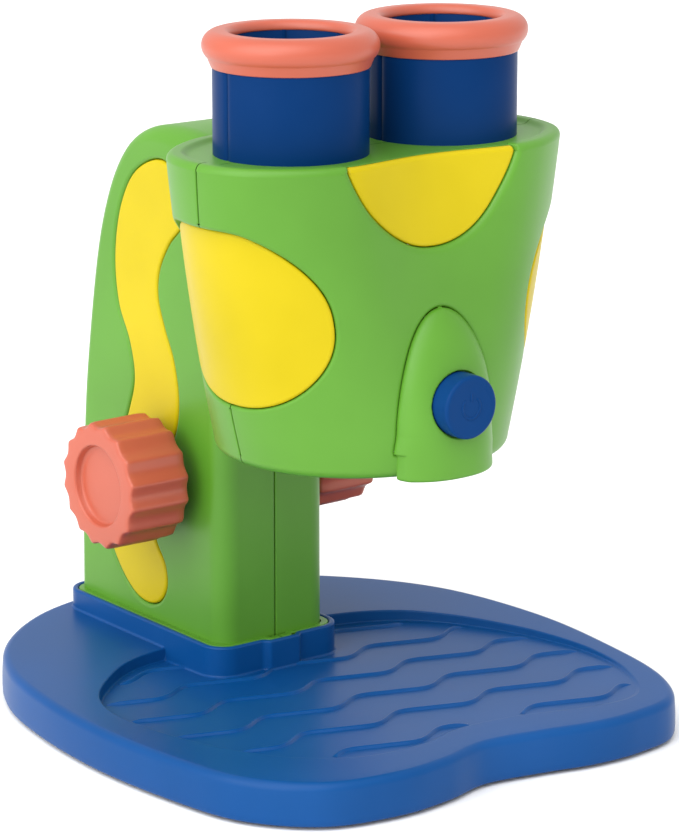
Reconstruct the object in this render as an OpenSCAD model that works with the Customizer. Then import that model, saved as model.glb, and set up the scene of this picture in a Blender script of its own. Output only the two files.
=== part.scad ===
// Children's binocular microscope: a broad base with a specimen tray, a hollow column with a
// rack-and-pinion focus drive, and a head with two eyepieces, a lamp and a push button.
// The upper works are drawn about their own centre plane (X = 0) and moved to their place on the base.

/* [Base] */
// Height of the base plate's top face above the table
base_top = 14; // [12:0.5:16]
// Gap between the base shell's lower edge and the table
foot_gap = 1; // [0.6:0.1:1.4]
// Wall thickness of the base shell
base_wall = 2.6; // [2:0.1:3]
// Depth of the specimen tray at its back
tray_depth = 3.6; // [2:0.1:4]
// Height of the socket rim above the base plate
rim_h = 6.5; // [5:0.1:8]

/* [Column] */
// Width of the column
column_w = 41; // [38:0.5:44]
// Radius that rounds the column's long edges
column_round = 6; // [4:0.5:6.5]
// Wall thickness of the column shells
column_wall = 3; // [2.4:0.1:3.2]
// Depth of the recess that holds a side panel
panel_depth = 1.6; // [1.2:0.1:2]

/* [Focus drive] */
// Height of the focus shaft above the table
shaft_z = 70; // [68:0.5:72]
// Distance of the focus shaft behind the reference plane
shaft_y = 25.5; // [25:0.5:26]
// Diameter of the focus shaft
shaft_d = 5; // [4:0.5:5]
// Outer diameter of a focus knob
knob_d = 39.6; // [36:0.2:41]
// Length of a focus knob
knob_len = 21.6; // [20:0.2:24]
// Number of flutes round a knob
knob_flutes = 16; // [12:1:20]
// Number of teeth on the pinion
pinion_teeth = 12; // [12:1:12]
// Gear module of the pinion and the rack
gear_module = 1; // [1:0.1:1]

/* [Head] */
// Height of the head's rim above the table
head_top = 183; // [182:0.5:184]
// Height of the head's underside above the table
head_bottom = 91.3; // [90:0.1:93]
// Wall thickness of the head shells
head_wall = 2.4; // [2:0.1:2.6]
// Distance from the centre plane to an eyepiece axis
eye_x = 27.4; // [27:0.1:28]
// Outer diameter of an eyepiece tube
tube_d = 44.8; // [43:0.2:45]
// Outer diameter of an eye ring
ring_d = 50.8; // [49:0.2:52]
// Overall height of the microscope
total_h = 217.2; // [215:0.1:219]

/* [Lamp pod] */
// Height of the push button's axis above the table
button_z = 112.3; // [110:0.1:114]
// Diameter of the push button
button_d = 18.6; // [17:0.2:20]
// Position of the pod's front face
pod_front_y = -93.5; // [-94.5:0.5:-92]

/* [Hidden] */

works_x = -5;          // centre plane of the column and head, from the middle of the base
works_y = 13;          // their reference plane, from the middle of the base
eps = 0.01;
far = 200;             // reaches past every face
green = [0.42, 0.72, 0.25];
yellow = [0.96, 0.86, 0.12];
base_blue = [0.14, 0.33, 0.66];
deep_blue = [0.07, 0.25, 0.55];
coral = [0.9, 0.4, 0.33];
steel = [0.75, 0.76, 0.78];

// Base outline: a soft lobed shape with a shallow bite in its front edge
base_points = [[-88.2, -14], [-85.2, -48], [-79, -73], [-63, -91], [-41, -97], [-22, -96], [-5, -92],
    [14.5, -95], [31, -98.8], [48, -99.3], [66, -94.5], [78.5, -76], [85, -47], [88.2, -8], [81.5, 34],
    [61, 66.5], [32, 89], [-2, 99.3], [-36, 94], [-63, 75.5], [-79, 50], [-86, 20]];
// Tray outline on the base plate
tray_points = [[-25, 36.5], [-45, 32.8], [-60, 22.5], [-71, 10.5], [-76, -4], [-75, -24], [-69, -46],
    [-58, -66], [-40, -79], [-20, -81], [-2, -77], [18, -79], [40, -86], [59, -85.5], [71.5, -67],
    [76.5, -45], [75, -23], [69.8, -5], [62.5, 10.7], [52, 23.5], [35, 31.8], [12, 35]];
// Side profile of the column above its front foot, front to back: [distance back, height]
column_crest = [[-2, 150], [-1.6, 164], [2.5, 173], [11, 177.2], [24, 178.4], [36, 177], [46, 172], [54, 163.5],
    [60.5, 151.5], [66, 135], [71, 110], [75, 82], [77.5, 45]];
column_front_y = -2;
column_back_y = 78;
// Outline of the winding side panel of the column: [distance back, height]
ribbon_points = [[28, 167.8], [20.5, 165], [16.2, 158.5], [17.5, 149.5], [24.5, 142.5], [30, 133.5],
    [31, 124.5], [27.5, 115], [23, 106], [20.6, 95], [21.8, 85], [26.5, 76], [33, 66.5], [36.8, 56.5],
    [33.8, 46], [29, 39], [28.2, 32], [32, 26.4], [38.5, 24.3], [46, 26], [53.5, 32], [59.3, 40.5],
    [61.5, 51], [58.8, 63.5], [53, 75], [47.3, 87], [44.5, 97], [47, 108], [52.3, 118], [54.4, 129.5],
    [53.6, 141], [50.2, 152], [44.2, 161], [36, 166.2]];

column_half = column_w / 2;
rim_half = 24.5;       // outer half width of the socket rim
rim_wall = 1.8;
rim_front_y = -5.4;
rim_back_y = 81.4;
rim_round = 8;
foot_clear = 0.2;      // the foot's flange sits this far inside the rim
foot_top = base_top + 6.3;
cover_t = 2;
tray_front_y = -86;    // where the sloping tray floor meets the plate again

pitch_r = gear_module * pinion_teeth / 2;
gear_clear = 0.12;     // side clearance on each tooth flank
pinion_half = 5;
knob_in = column_half + 5.2;
bush_r = 8.5;          // radius of the collar between the column and a knob
rack_y = shaft_y - pitch_r;

// Head sections, top to bottom: [height, half spread of the two end arcs, arc radius, centre distance back]
head_sections = [[head_top, eye_x, 34.1, -48], [161, 24, 35.6, -47.6], [111, 10, 39.3, -46],
    [head_bottom, 1.5, 40.8, -45.4]];
eye_y = -48;
lip_w = 5.5;           // width of the lip round the head's deck
deck_z = head_top - 1.2;
waist_r = 100;         // radius of the hollow between the eyepieces at the front rim
waist_in = 3.7;
waist_lean = 6;        // degrees that the hollow leans so that it fades out below
tube_r = tube_d / 2;
tube_step = 209;        // the tube is narrower above this height, inside its ring
tube_top = 214.9;
tube_lip_r = 20.4;
tube_low = 172;
tube_bore_r = 17.2;
lens_r = 18.5;
lens_seat_r = 16.8;     // radius of the bore below the lens
lens_seat_z = 192;
ring_bottom = 206.7;
ring_bore_r = 17;
objective_y = -46;
panel_mid_z = 138;
panel_top_z = 163.9;
badge_back_y = -72.5;     // the badge reaches this far back over the rim
badge_sink = 1.8;         // depth of its face below the head's skin
// The head's back wall between its second and third sections is flat and leans forward
head_back_lean = atan((head_sections[2][3] + head_sections[2][2] - head_sections[1][3] - head_sections[1][2])
    / (head_sections[1][0] - head_sections[2][0]));
head_back_y = -12 + (161 - 138) * tan(head_back_lean) - head_wall - 0.02;
slot_half = 9.3;
neck_half = 8.8;
neck_low = 124;
neck_high = 152;
neck_mid = (neck_low + neck_high) / 2;
head_travel = 8;
lead_r = 1.2;
lead_y = 18;            // the lead runs this far back, behind the carriage
lead_low = 113;
lead_high = 138;
pod_low = 91.2;
pod_back_y = -82;
pod_wall = 2;
button_face_y = pod_front_y - 3.4;
column_bolts = [[33, 172.2], [61, 118], [70, 23.5], [4.5, 34]];
head_bolts = [[-26, 104], [26, 104], [-40, 166], [40, 166]];
head_screw_y = -38;      // where the heads of the head's screws sit
foot_bolts = [[-14, 12], [14, 12], [-14, 60], [14, 60]];
cover_bolts = [[-70, -10], [-45, -75], [50, -70], [70, 5], [40, 62], [-46, 56]];
foot_places = [[-70, -40], [-57, 65], [30, 78], [72, 22], [64, -76], [-30, -86]];
door_screw_y = 72.9;     // where the door screw's head sits
cell_x = [-6, 6];
cell_y = 63;
cell_low = 38;
cell_len = 44.5;
cell_r = 5.25;

// A point on the smooth curve from b to c, with neighbours a and d
function curve_point(a, b, c, d, t) = 0.5 * (2 * b + (c - a) * t + (2 * a - 5 * b + 4 * c - d) * t * t
    + (3 * b - a - 3 * c + d) * t * t * t);
// A smooth closed curve through all the points, with n steps between neighbours
function smooth_loop(p, n) = let (c = len(p)) [for (i = [0:c - 1], s = [0:n - 1])
    curve_point(p[(i + c - 1) % c], p[i], p[(i + 1) % c], p[(i + 2) % c], s / n)];
// A smooth open curve through all the points
function smooth_path(p, n) = let (c = len(p)) concat([for (i = [0:c - 2], s = [0:n - 1])
    curve_point(p[max(i - 1, 0)], p[i], p[i + 1], p[min(i + 2, c - 1)], s / n)], [p[c - 1]]);
// A point on the flank of a tooth, unwound from the base circle
function flank(base_r, a) = base_r * [cos(a) + a * PI / 180 * sin(a), sin(a) - a * PI / 180 * cos(a)];
// A point turned about the origin
function turn(p, a) = [p.x * cos(a) - p.y * sin(a), p.x * sin(a) + p.y * cos(a)];

module works() {
    translate([works_x, works_y, 0]) children();
}

// Draws a shape given as [distance back, height] and gives it a thickness from x0 to x1
module side_extrude(x0, x1) {
    translate([x0, 0, 0]) rotate([90, 0, 90]) linear_extrude(x1 - x0) children();
}

// Draws a shape given as [x, height] and gives it a thickness from y0 to y1
module front_extrude(y0, y1) {
    translate([0, y1, 0]) rotate([90, 0, 0]) linear_extrude(y1 - y0) children();
}

module rounded_rect(x, y0, y1, r) {
    for (sx = [-1, 1]) translate([sx * (x - r), y0 + r]) circle(r, $fn = 48);
    for (sx = [-1, 1]) translate([sx * (x - r), y1 - r]) circle(r, $fn = 48);
    translate([-x + r, y0]) square([2 * (x - r), y1 - y0]);
    translate([-x, y0 + r]) square([2 * x, y1 - y0 - 2 * r]);
}

module cylinder_x(r, x0, x1) {
    translate([x0, 0, 0]) rotate([0, 90, 0]) cylinder(r = r, h = x1 - x0, $fn = 48);
}

module cylinder_y(r, y0, y1) {
    translate([0, y0, 0]) rotate([-90, 0, 0]) cylinder(r = r, h = y1 - y0, $fn = 48);
}

module screw(head_r, head_h, shank_r, len) {
    cylinder(r = head_r, h = head_h, $fn = 32);
    translate([0, 0, -len]) cylinder(r = shank_r, h = len, $fn = 32);
}

// ---- base ----

module base_outline() {
    polygon(smooth_loop(base_points, 5));
}

module tray_pocket() {
    lean = atan(tray_depth / (36.5 - tray_front_y));
    translate([0, tray_front_y, base_top]) rotate([-lean, 0, 0]) translate([0, -tray_front_y, 0])
        linear_extrude(rim_h) polygon(smooth_loop(tray_points, 4));
}

module socket_rim(inset, z0, z1) {
    works() translate([0, 0, z0]) linear_extrude(z1 - z0)
        rounded_rect(rim_half - inset, rim_front_y + inset, rim_back_y - inset, rim_round - inset);
}

module base_shell() {
    color(base_blue) difference() {
        union() {
            difference() {
                translate([0, 0, foot_gap]) linear_extrude(base_top - foot_gap) base_outline();
                difference() {
                    tray_pocket();
                    socket_rim(0, 0, far);
                }
                translate([0, 0, foot_gap - eps]) linear_extrude(base_top - foot_gap - 2 * base_wall + eps)
                    offset(delta = -base_wall) base_outline();
            }
            difference() {
                socket_rim(0, base_top - eps, base_top + rim_h);
                socket_rim(rim_wall, base_top - 2 * eps, far);
            }
            for (p = cover_bolts) translate([p.x, p.y, foot_gap + cover_t])
                cylinder(r = 4, h = base_top - base_wall - foot_gap - cover_t - 1, $fn = 32);
        }
        for (p = cover_bolts) translate([p.x, p.y, 0]) cylinder(r = 1.3, h = base_top - 2 * base_wall + 1, $fn = 24);
        works() for (p = foot_bolts) translate([p.x, p.y, 0]) cylinder(r = 1.8, h = far, $fn = 24);
    }
}

module base_bottom_cover() {
    color(base_blue) difference() {
        translate([0, 0, foot_gap]) linear_extrude(cover_t) offset(delta = -base_wall - 0.2) base_outline();
        for (p = cover_bolts) translate([p.x, p.y, 0]) cylinder(r = 1.8, h = 10, $fn = 24);
        for (p = foot_places) translate([p.x, p.y, foot_gap - eps]) cylinder(r = 7, h = 0.8, $fn = 48);
    }
}

module rubber_feet() {
    color([0.12, 0.12, 0.13]) for (p = foot_places) translate([p.x, p.y, 0])
        cylinder(r = 6.9, h = foot_gap + 0.79 - eps, $fn = 48);
}

module cover_screws() {
    color(steel) for (p = cover_bolts) translate([p.x, p.y, foot_gap]) mirror([0, 0, 1]) screw(2.8, 0.8, 1.25, 8);
}

module foot_screws() {
    color(steel) works() for (p = foot_bolts) translate([p.x, p.y, base_top - 2 * base_wall])
        mirror([0, 0, 1]) screw(3, 1.6, 1.4, 14);
}

// ---- column ----

module column_profile(low = base_top) {
    polygon(concat([[column_back_y, low], [column_front_y, low]], smooth_path(column_crest, 4)));
}

module column_inner_profile() {
    offset(delta = -column_wall) column_profile();
}

// One half of the column's outside, with its long edges rounded
module column_outside() {
    intersection() {
        hull() for (a = [0, 30, 60, 90]) {
            x = column_half - column_round * (1 - sin(a));
            side_extrude(a == 0 ? 0 : x - 0.02, x) offset(delta = -column_round * (1 - cos(a)))
                column_profile(base_top - column_round);
        }
        translate([0, -far, base_top]) cube([far, 2 * far, far]);
    }
}

// The battery opening's edges: grown by a gap where the door fits into the wall
module door_window(gap) {
    translate([-13.5 - gap, 60, 30 - gap]) cube([27 + 2 * gap, 30, 68 + 2 * gap]);
}

// The winding side panel, which leaves room for the shaft's bush; the gap widens that room
module ribbon_outline(gap) {
    difference() {
        polygon(smooth_loop(ribbon_points, 3));
        translate([shaft_y, shaft_z]) circle(r = bush_r + gap, $fn = 48);
    }
}

module column_half_shell() {
    difference() {
        union() {
            difference() {
                union() {
                    column_outside();
                    intersection() {
                        translate([0, 0, base_top]) linear_extrude(foot_top - base_top)
                            rounded_rect(rim_half - rim_wall - foot_clear, rim_front_y + rim_wall + foot_clear,
                                rim_back_y - rim_wall - foot_clear, rim_round - rim_wall - foot_clear);
                        translate([0, -far, 0]) cube([far, 2 * far, far]);
                    }
                }
                side_extrude(-1, column_half - column_wall) column_inner_profile();
            }
            // guide ribs in front of and behind the carriage
            for (y = [5, 13.4]) translate([11, y, 50]) cube([column_half - column_wall - 11 + eps, 2.2, 118]);
            for (p = column_bolts) translate([0, p.x, p.y]) cylinder_x(3.8, 0, column_half - column_wall + eps);
            for (p = foot_bolts) if (p.x > 0)
                translate([p.x, p.y, base_top + column_wall - eps]) cylinder(r = 3.4, h = 10, $fn = 32);
        }
        translate([-1, -20, neck_low - head_travel - 3])
            cube([slot_half + 1, 24, neck_high - neck_low + 2 * head_travel + 6]);
        translate([0, shaft_y, shaft_z]) cylinder_x(5, -1, far);
        door_window(0.2);
        side_extrude(column_half - panel_depth, far) ribbon_outline(0.1);
        for (p = foot_bolts) translate([p.x, p.y, 0]) cylinder(r = 1.4, h = base_top + 12, $fn = 24);
        for (p = column_bolts) translate([0, p.x, p.y]) cylinder_x(1.4, -1, 13);
    }
}

module column_right_shell() {
    color(green) works() difference() {
        column_half_shell();
        for (p = column_bolts) translate([0, p.x, p.y]) {
            cylinder_x(1.7, -1, far);
            cylinder_x(3.2, 6, far);
        }
    }
}

module column_left_shell() {
    color(green) works() mirror([1, 0, 0]) column_half_shell();
}

module column_screws() {
    color(steel) works() for (p = column_bolts) translate([6, p.x, p.y]) rotate([0, 90, 0]) screw(2.9, 2, 1.35, 16);
}

module column_panel() {
    side_extrude(column_half - panel_depth, column_half + 0.1) ribbon_outline(0.2);
}

module column_panel_right() {
    color(yellow) works() column_panel();
}

module column_panel_left() {
    color(yellow) works() mirror([1, 0, 0]) column_panel();
}

// ---- battery bay ----

module battery_door() {
    color(green) works() difference() {
        intersection() {
            door_window(0);
            side_extrude(-20, 20) difference() {
                column_profile();
                offset(delta = -2.2) column_profile();
            }
        }
        translate([0, 0, 91]) cylinder_y(1.7, 60, 90);
        translate([0, 0, 91]) cylinder_y(3, door_screw_y, 90);
    }
}

module battery_door_screw() {
    color(steel) works() translate([0, door_screw_y, 91]) rotate([-90, 0, 0]) screw(2.7, 1.1, 1.35, 8);
}

module battery_tray() {
    color([0.13, 0.13, 0.14]) works() difference() {
        translate([-13.3, 54, 31]) cube([26.6, 15.8, 66]);
        translate([-11.8, 56, 33]) cube([23.6, 20, 52.5]);
        translate([0, 0, 91]) cylinder_y(1.4, 60, 80);
    }
}

module batteries() {
    color([0.55, 0.57, 0.6]) works() for (x = cell_x) translate([x, cell_y, cell_low]) {
        cylinder(r = cell_r, h = cell_len - 1, $fn = 48);
        translate([0, 0, cell_len - 1]) cylinder(r = 1.9, h = 1, $fn = 32);
    }
}

module battery_contacts() {
    color(steel) works() for (x = cell_x) {
        translate([x - 4, cell_y - 4, 33]) cube([8, 8, 0.6]);
        for (i = [0:3]) translate([x, cell_y, 33.6 + i * 1.1]) difference() {
            cylinder(r = 3 - i * 0.3, h = 1.1, $fn = 32);
            translate([0, 0, -1]) cylinder(r = 2.2 - i * 0.3, h = 4, $fn = 32);
        }
        translate([x - 4, cell_y - 4, cell_low + cell_len]) cube([8, 8, 0.6]);
    }
}

// ---- focus drive ----

module shaft_bush() {
    color([0.85, 0.85, 0.83]) difference() {
        union() {
            cylinder_x(5, column_half - column_wall, column_half + eps);
            cylinder_x(bush_r, column_half, knob_in - 0.4);
        }
        cylinder_x(shaft_d / 2 + 0.05, 0, far);
    }
}

module shaft_bush_left() {
    works() translate([0, shaft_y, shaft_z]) mirror([1, 0, 0]) shaft_bush();
}

module shaft_bush_right() {
    works() translate([0, shaft_y, shaft_z]) shaft_bush();
}

module focus_shaft() {
    color(steel) works() translate([0, shaft_y, shaft_z]) cylinder_x(shaft_d / 2, -knob_in - 17, knob_in + 17);
}

module pinion() {
    base_r = pitch_r * cos(20);
    tip_r = pitch_r + 0.95 * gear_module;
    root_r = pitch_r - 1.2 * gear_module;
    unwind = sqrt(tip_r * tip_r / (base_r * base_r) - 1) * 180 / PI;
    pitch_turn = (tan(20) * 180 / PI) - 20;
    half = 90 / pinion_teeth - gear_clear / pitch_r * 180 / PI + pitch_turn;
    side = [for (s = [0:4]) turn(flank(base_r, unwind * s / 4), -half)];
    color([0.9, 0.9, 0.88]) works() translate([0, shaft_y, shaft_z]) difference() {
        translate([-pinion_half, 0, 0]) rotate([90, 0, 90]) linear_extrude(2 * pinion_half) {
            circle(root_r, $fn = 48);
            for (t = [0:pinion_teeth - 1]) rotate(180 + t * 360 / pinion_teeth)
                polygon(concat([[0, 0]], side, [for (s = [4:-1:0]) [side[s].x, -side[s].y]]));
        }
        cylinder_x(shaft_d / 2, -far, far);
    }
}

module focus_knob() {
    r = knob_d / 2;
    flute_depth = 1.3;
    flute_r = 4.8;
    difference() {
        translate([knob_in, 0, 0]) rotate([0, 90, 0]) rotate_extrude($fn = 96) polygon([[shaft_d / 2, 0],
            [r - 1, 0], [r, 1], [r - 0.2, knob_len - 0.8], [r - 0.9, knob_len], [13.2, knob_len],
            [12.6, knob_len - 2.4], [0, knob_len - 2.4], [0, 17], [shaft_d / 2, 17]]);
        for (i = [0:knob_flutes - 1]) rotate([i * 360 / knob_flutes, 0, 0])
            translate([0, 0, r + flute_r - flute_depth]) cylinder_x(flute_r, knob_in - 1, far);
    }
}

module knob_right() {
    color(coral) works() translate([0, shaft_y, shaft_z]) focus_knob();
}

module knob_left() {
    color(coral) works() translate([0, shaft_y, shaft_z]) mirror([1, 0, 0]) focus_knob();
}

// ---- carriage ----

module carriage() {
    pitch = PI * gear_module;
    tip = 0.7 * gear_module;
    half_pitch_w = pitch / 4 - gear_clear;
    slope = tan(20);
    color([0.88, 0.88, 0.86]) works() difference() {
        union() {
            translate([-14.5, 8, 92]) cube([29, 4.8, 66]);
            translate([-5.5, 8, shaft_z - 20]) cube([11, rack_y - 1.25 - 8, 52]);
            for (i = [-6:6]) side_extrude(-5, 5) polygon([
                [rack_y - 1.3, shaft_z + (i + 0.5) * pitch - half_pitch_w - 1.3 * slope],
                [rack_y - 1.3, shaft_z + (i + 0.5) * pitch + half_pitch_w + 1.3 * slope],
                [rack_y + tip, shaft_z + (i + 0.5) * pitch + half_pitch_w - tip * slope],
                [rack_y + tip, shaft_z + (i + 0.5) * pitch - half_pitch_w + tip * slope]]);
            translate([-neck_half, -14, neck_low]) cube([2 * neck_half, 22 + eps, neck_high - neck_low]);
            on_head_back() translate([-14, 0, -20]) cube([28, 2.4, 40]);
        }
        translate([0, 0, lead_high]) cylinder_y(2.5, -30, 30);
        flange_screws() cylinder(r = 1.25, h = 10, center = true, $fn = 24);
    }
}

// Leans and places a flat piece against the inside of the head's back wall
module on_head_back() {
    translate([0, head_back_y - 2.4, neck_mid]) rotate([head_back_lean, 0, 0]) children();
}

// One child for each screw of the carriage's flange, pointing forward
module flange_screws() {
    for (x = [-11.4, 11.4], z = [-16.5, 16.5]) on_head_back() translate([x, 0, z]) rotate([90, 0, 0]) children();
}

module carriage_screws() {
    color(steel) works() flange_screws() screw(2.2, 1.2, 1.2, 4.2);
}

// The lead from the battery tray forward to the back of the carriage
module battery_lead() {
    color([0.75, 0.1, 0.1]) works() {
        translate([0, 60, 97]) cylinder(r = lead_r, h = lead_low - lead_r - 97, $fn = 24);
        translate([0, 0, lead_low]) cylinder_y(lead_r, lead_y - lead_r, 60 + lead_r);
    }
}

// The loose length of lead that gives way as the carriage rises and falls
module lamp_lead() {
    color([0.75, 0.1, 0.1]) works() translate([0, lead_y, lead_low + lead_r])
        cylinder(r = lead_r, h = lead_high - lead_low - 2 * lead_r, $fn = 24);
}

// ---- head ----

// Two equal arcs side by side, joined by straight sides
module section_slice(z, spread, r, y, h) {
    for (s = [-1, 1]) translate([s * spread, y, z]) cylinder(r = r, h = h, $fn = 64);
}

// The head's body drawn in by a margin on its sides; first and last pick the sections
module head_body(inset, first = 0, last = 3) {
    for (i = [first:last - 1]) hull() {
        a = head_sections[i];
        b = head_sections[i + 1];
        section_slice(a[0] - eps, a[1], a[2] - inset, a[3], eps);
        section_slice(b[0], b[1], b[2] - inset, b[3], eps);
    }
}

// The hollow between the eyepieces, at the front of the rim
module waist(grow) {
    translate([0, eye_y - head_sections[0][2] + waist_in, head_top]) rotate([-waist_lean, 0, 0])
        translate([0, -waist_r, -72]) cylinder(r = waist_r + grow, h = 100, $fn = 180);
}

// The sunken deck that the eyepieces pass through
module deck_recess() {
    r = head_sections[0][2] - lip_w;
    difference() {
        translate([0, eye_y, deck_z]) linear_extrude(far) {
            for (s = [-1, 1]) translate([s * eye_x, 0]) circle(r, $fn = 96);
            translate([-eye_x, -r]) square([2 * eye_x, 2 * r]);
        }
        waist(lip_w);
    }
}

// The head's hollow casing; its children are bosses that stay inside the hollow
module head_shell() {
    difference() {
        head_body(0);
        waist(0);
        difference() {
            head_body(head_wall);
            waist(head_wall);
            translate([-far, -far, deck_z - head_wall]) cube([2 * far, 2 * far, far]);
            translate([-far, -far, head_bottom - eps]) cube([2 * far, 2 * far, head_wall]);
            children();
        }
        deck_recess();
        for (s = [-1, 1]) translate([s * eye_x, eye_y, deck_z - 10]) cylinder(r = tube_r + 0.1, h = 30, $fn = 96);
        translate([0, objective_y, 0]) cylinder(r = 14, h = 110, $fn = 64);
        translate([0, -72, 0]) cylinder(r = 4.2, h = 110, $fn = 48);
        side_extrude(-far, far) panel_outline();
        front_extrude(-far, badge_back_y) badge_outline();
        // window behind the lamp pod and the opening for the carriage's neck
        translate([-9, -100, 97]) cube([18, 30, 30]);
        translate([-neck_half - 0.1, -30, neck_low - 0.1])
            cube([2 * neck_half + 0.2, 40, neck_high - neck_low + 0.2]);
        flange_screws() cylinder(r = 1.25, h = 8.6, center = true, $fn = 24);
    }
}

// The side panels: a broad oval with full corners, cut off level below the rim
module panel_outline() {
    bend = 2 / 2.3;
    intersection() {
        translate([eye_y, panel_mid_z]) polygon([for (a = [0:5:355])
            [31.2 * sign(cos(a)) * pow(abs(cos(a)), bend), 27.5 * sign(sin(a)) * pow(abs(sin(a)), bend)]]);
        translate([-far, 0]) square([2 * far, panel_top_z]);
    }
}

// The front badge: a half oval that hangs from the rim
module badge_outline() {
    half = [for (a = [0:5:90]) [31 * pow(1 - pow(sin(a), 1.2), 0.47), head_top - 26.7 * sin(a)]];
    polygon(concat([[32, head_top + 5]], half, [for (k = [len(half) - 2:-1:0]) [-half[k].x, half[k].y]],
        [[-32, head_top + 5]]));
}

// How far back the seam between the head's front and rear shells lies at a height
function seam_y(z) = -45.6 - 6.2 * pow((z - head_bottom) / (head_top - head_bottom), 2);

// Everything in front of the seam, as a side view; the step moves it back
module before_seam(step) {
    z = [for (k = [0:6]) head_bottom + k / 6 * (head_top - head_bottom)];
    polygon(concat([[-far, -far], [seam_y(head_bottom) + step, -far]], [for (h = z) [seam_y(h) + step, h]],
        [[seam_y(head_top) + step, far], [-far, far]]));
}

module head_front_shell() {
    color(green) works() difference() {
        intersection() {
            head_shell() for (p = head_bolts) translate([p.x, 0, p.y]) cylinder_y(4, -far, seam_y(p.y) + 4);
            side_extrude(-far, far) before_seam(0);
        }
        for (p = head_bolts) translate([p.x, 0, p.y]) cylinder_y(1.35, head_screw_y - 28, head_screw_y);
    }
}

module head_rear_shell() {
    color(green) works() difference() {
        head_shell() for (p = head_bolts) translate([p.x, 0, p.y]) cylinder_y(4.6, seam_y(p.y) - 4, far);
        side_extrude(-far, far) before_seam(0);
        for (p = head_bolts) translate([p.x, 0, p.y]) {
            cylinder_y(1.7, -far, 0);
            cylinder_y(3.2, head_screw_y, 10);
        }
    }
}

module head_screws() {
    color(steel) works() for (p = head_bolts) translate([p.x, head_screw_y, p.y])
        rotate([-90, 0, 0]) screw(2.9, 2, 1.35, 26);
}

module badge_panel() {
    color(yellow) works() difference() {
        intersection() {
            head_body(badge_sink, 0, 2);
            front_extrude(-far, badge_back_y) badge_outline();
        }
        waist(badge_sink);
        deck_recess();
        difference() {
            head_body(badge_sink + 1.8, 0, 2);
            waist(badge_sink + 1.8);
            translate([-far, -far, deck_z - head_wall]) cube([2 * far, 2 * far, far]);
        }
    }
}

module head_panel() {
    intersection() {
        difference() {
            head_body(0.7);
            head_body(head_wall);
        }
        side_extrude(0, far) panel_outline();
    }
}

module head_panel_right() {
    color(yellow) works() head_panel();
}

module head_panel_left() {
    color(yellow) works() mirror([1, 0, 0]) head_panel();
}

// ---- eyepieces ----

module eyepiece_tubes() {
    difference() {
        union() {
            for (s = [-1, 1]) translate([s * eye_x, eye_y, tube_low]) {
                cylinder(r = tube_r, h = tube_step - tube_low, $fn = 96);
                cylinder(r = tube_lip_r, h = tube_top - tube_low, $fn = 96);
            }
            translate([0, 0, deck_z - head_wall - 2.6]) linear_extrude(2.5) translate([0, eye_y]) {
                for (s = [-1, 1]) translate([s * eye_x, 0]) circle(25, $fn = 96);
                translate([-eye_x, -12]) square([2 * eye_x, 24]);
            }
        }
        for (s = [-1, 1]) translate([s * eye_x, eye_y, 0]) {
            translate([0, 0, 100]) cylinder(r = lens_seat_r, h = 150, $fn = 96);
            translate([0, 0, lens_seat_z]) cylinder(r = lens_r + 0.1, h = 6.2, $fn = 96);
            translate([0, 0, lens_seat_z + 7]) cylinder(r = tube_bore_r, h = 30, $fn = 96);
        }
    }
}

module eyepiece_tubes_front() {
    color(deep_blue) works() intersection() {
        eyepiece_tubes();
        translate([-far, -far, 0]) cube([2 * far, far + eye_y, 2 * far]);
    }
}

module eyepiece_tubes_rear() {
    color(deep_blue) works() intersection() {
        eyepiece_tubes();
        translate([-far, eye_y, 0]) cube([2 * far, far, 2 * far]);
    }
}

module eye_ring() {
    round_r = 4.4;
    edge_r = 2.3;
    color(coral) rotate_extrude($fn = 96) polygon(concat(
        [[ring_bore_r, tube_top], [tube_lip_r, tube_top], [tube_lip_r, tube_step], [tube_r, tube_step],
            [tube_r, ring_bottom], [tube_r + 0.5, ring_bottom]],
        [for (a = [-45:15:75]) [ring_d / 2 - round_r, total_h - round_r] + round_r * [cos(a), sin(a)]],
        [for (a = [90:18:162]) [ring_bore_r + edge_r, total_h - edge_r] + edge_r * [cos(a), sin(a)]]));
}

module eye_ring_left() {
    works() translate([-eye_x, eye_y, 0]) eye_ring();
}

module eye_ring_right() {
    works() translate([eye_x, eye_y, 0]) eye_ring();
}

// A lens with a flat back and a domed face
module lens(r, edge, dome) {
    ball = (r * r + dome * dome) / (2 * dome);
    color([0.8, 0.9, 0.95, 0.4]) {
        cylinder(r = r, h = edge, $fn = 64);
        translate([0, 0, edge]) intersection() {
            translate([0, 0, dome - ball]) sphere(ball, $fn = 96);
            cylinder(r = r + 1, h = dome + 1, $fn = 64);
        }
    }
}

module eye_lens_left() {
    works() translate([-eye_x, eye_y, lens_seat_z]) lens(lens_r, 2.5, 3);
}

module eye_lens_right() {
    works() translate([eye_x, eye_y, lens_seat_z]) lens(lens_r, 2.5, 3);
}

module objective_barrel() {
    color([0.12, 0.12, 0.13]) works() translate([0, objective_y, 0]) difference() {
        union() {
            translate([0, 0, head_bottom + 0.4]) cylinder(r = 13.9, h = 16, $fn = 64);
            translate([0, 0, head_bottom + head_wall]) cylinder(r = 17, h = 2, $fn = 64);
        }
        cylinder(r = 10.5, h = far, $fn = 64);
        translate([0, 0, head_bottom + 4]) cylinder(r = 12, h = far, $fn = 64);
    }
}

module objective_lens() {
    works() translate([0, objective_y, head_bottom + 4]) lens(12, 2.4, 2);
}

// ---- lamp pod and button ----

// The pod's face: a tall half oval on a slightly narrower foot
module pod_outline() {
    arch = [for (a = [0:10:180]) [17.1 * cos(a), 104 + 35 * sin(a)]];
    polygon(concat([[16.7, pod_low], [16.7, 97.7], [17.9, 98.7]], arch,
        [[-17.9, 98.7], [-16.7, 97.7], [-16.7, pod_low]]));
}

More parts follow.
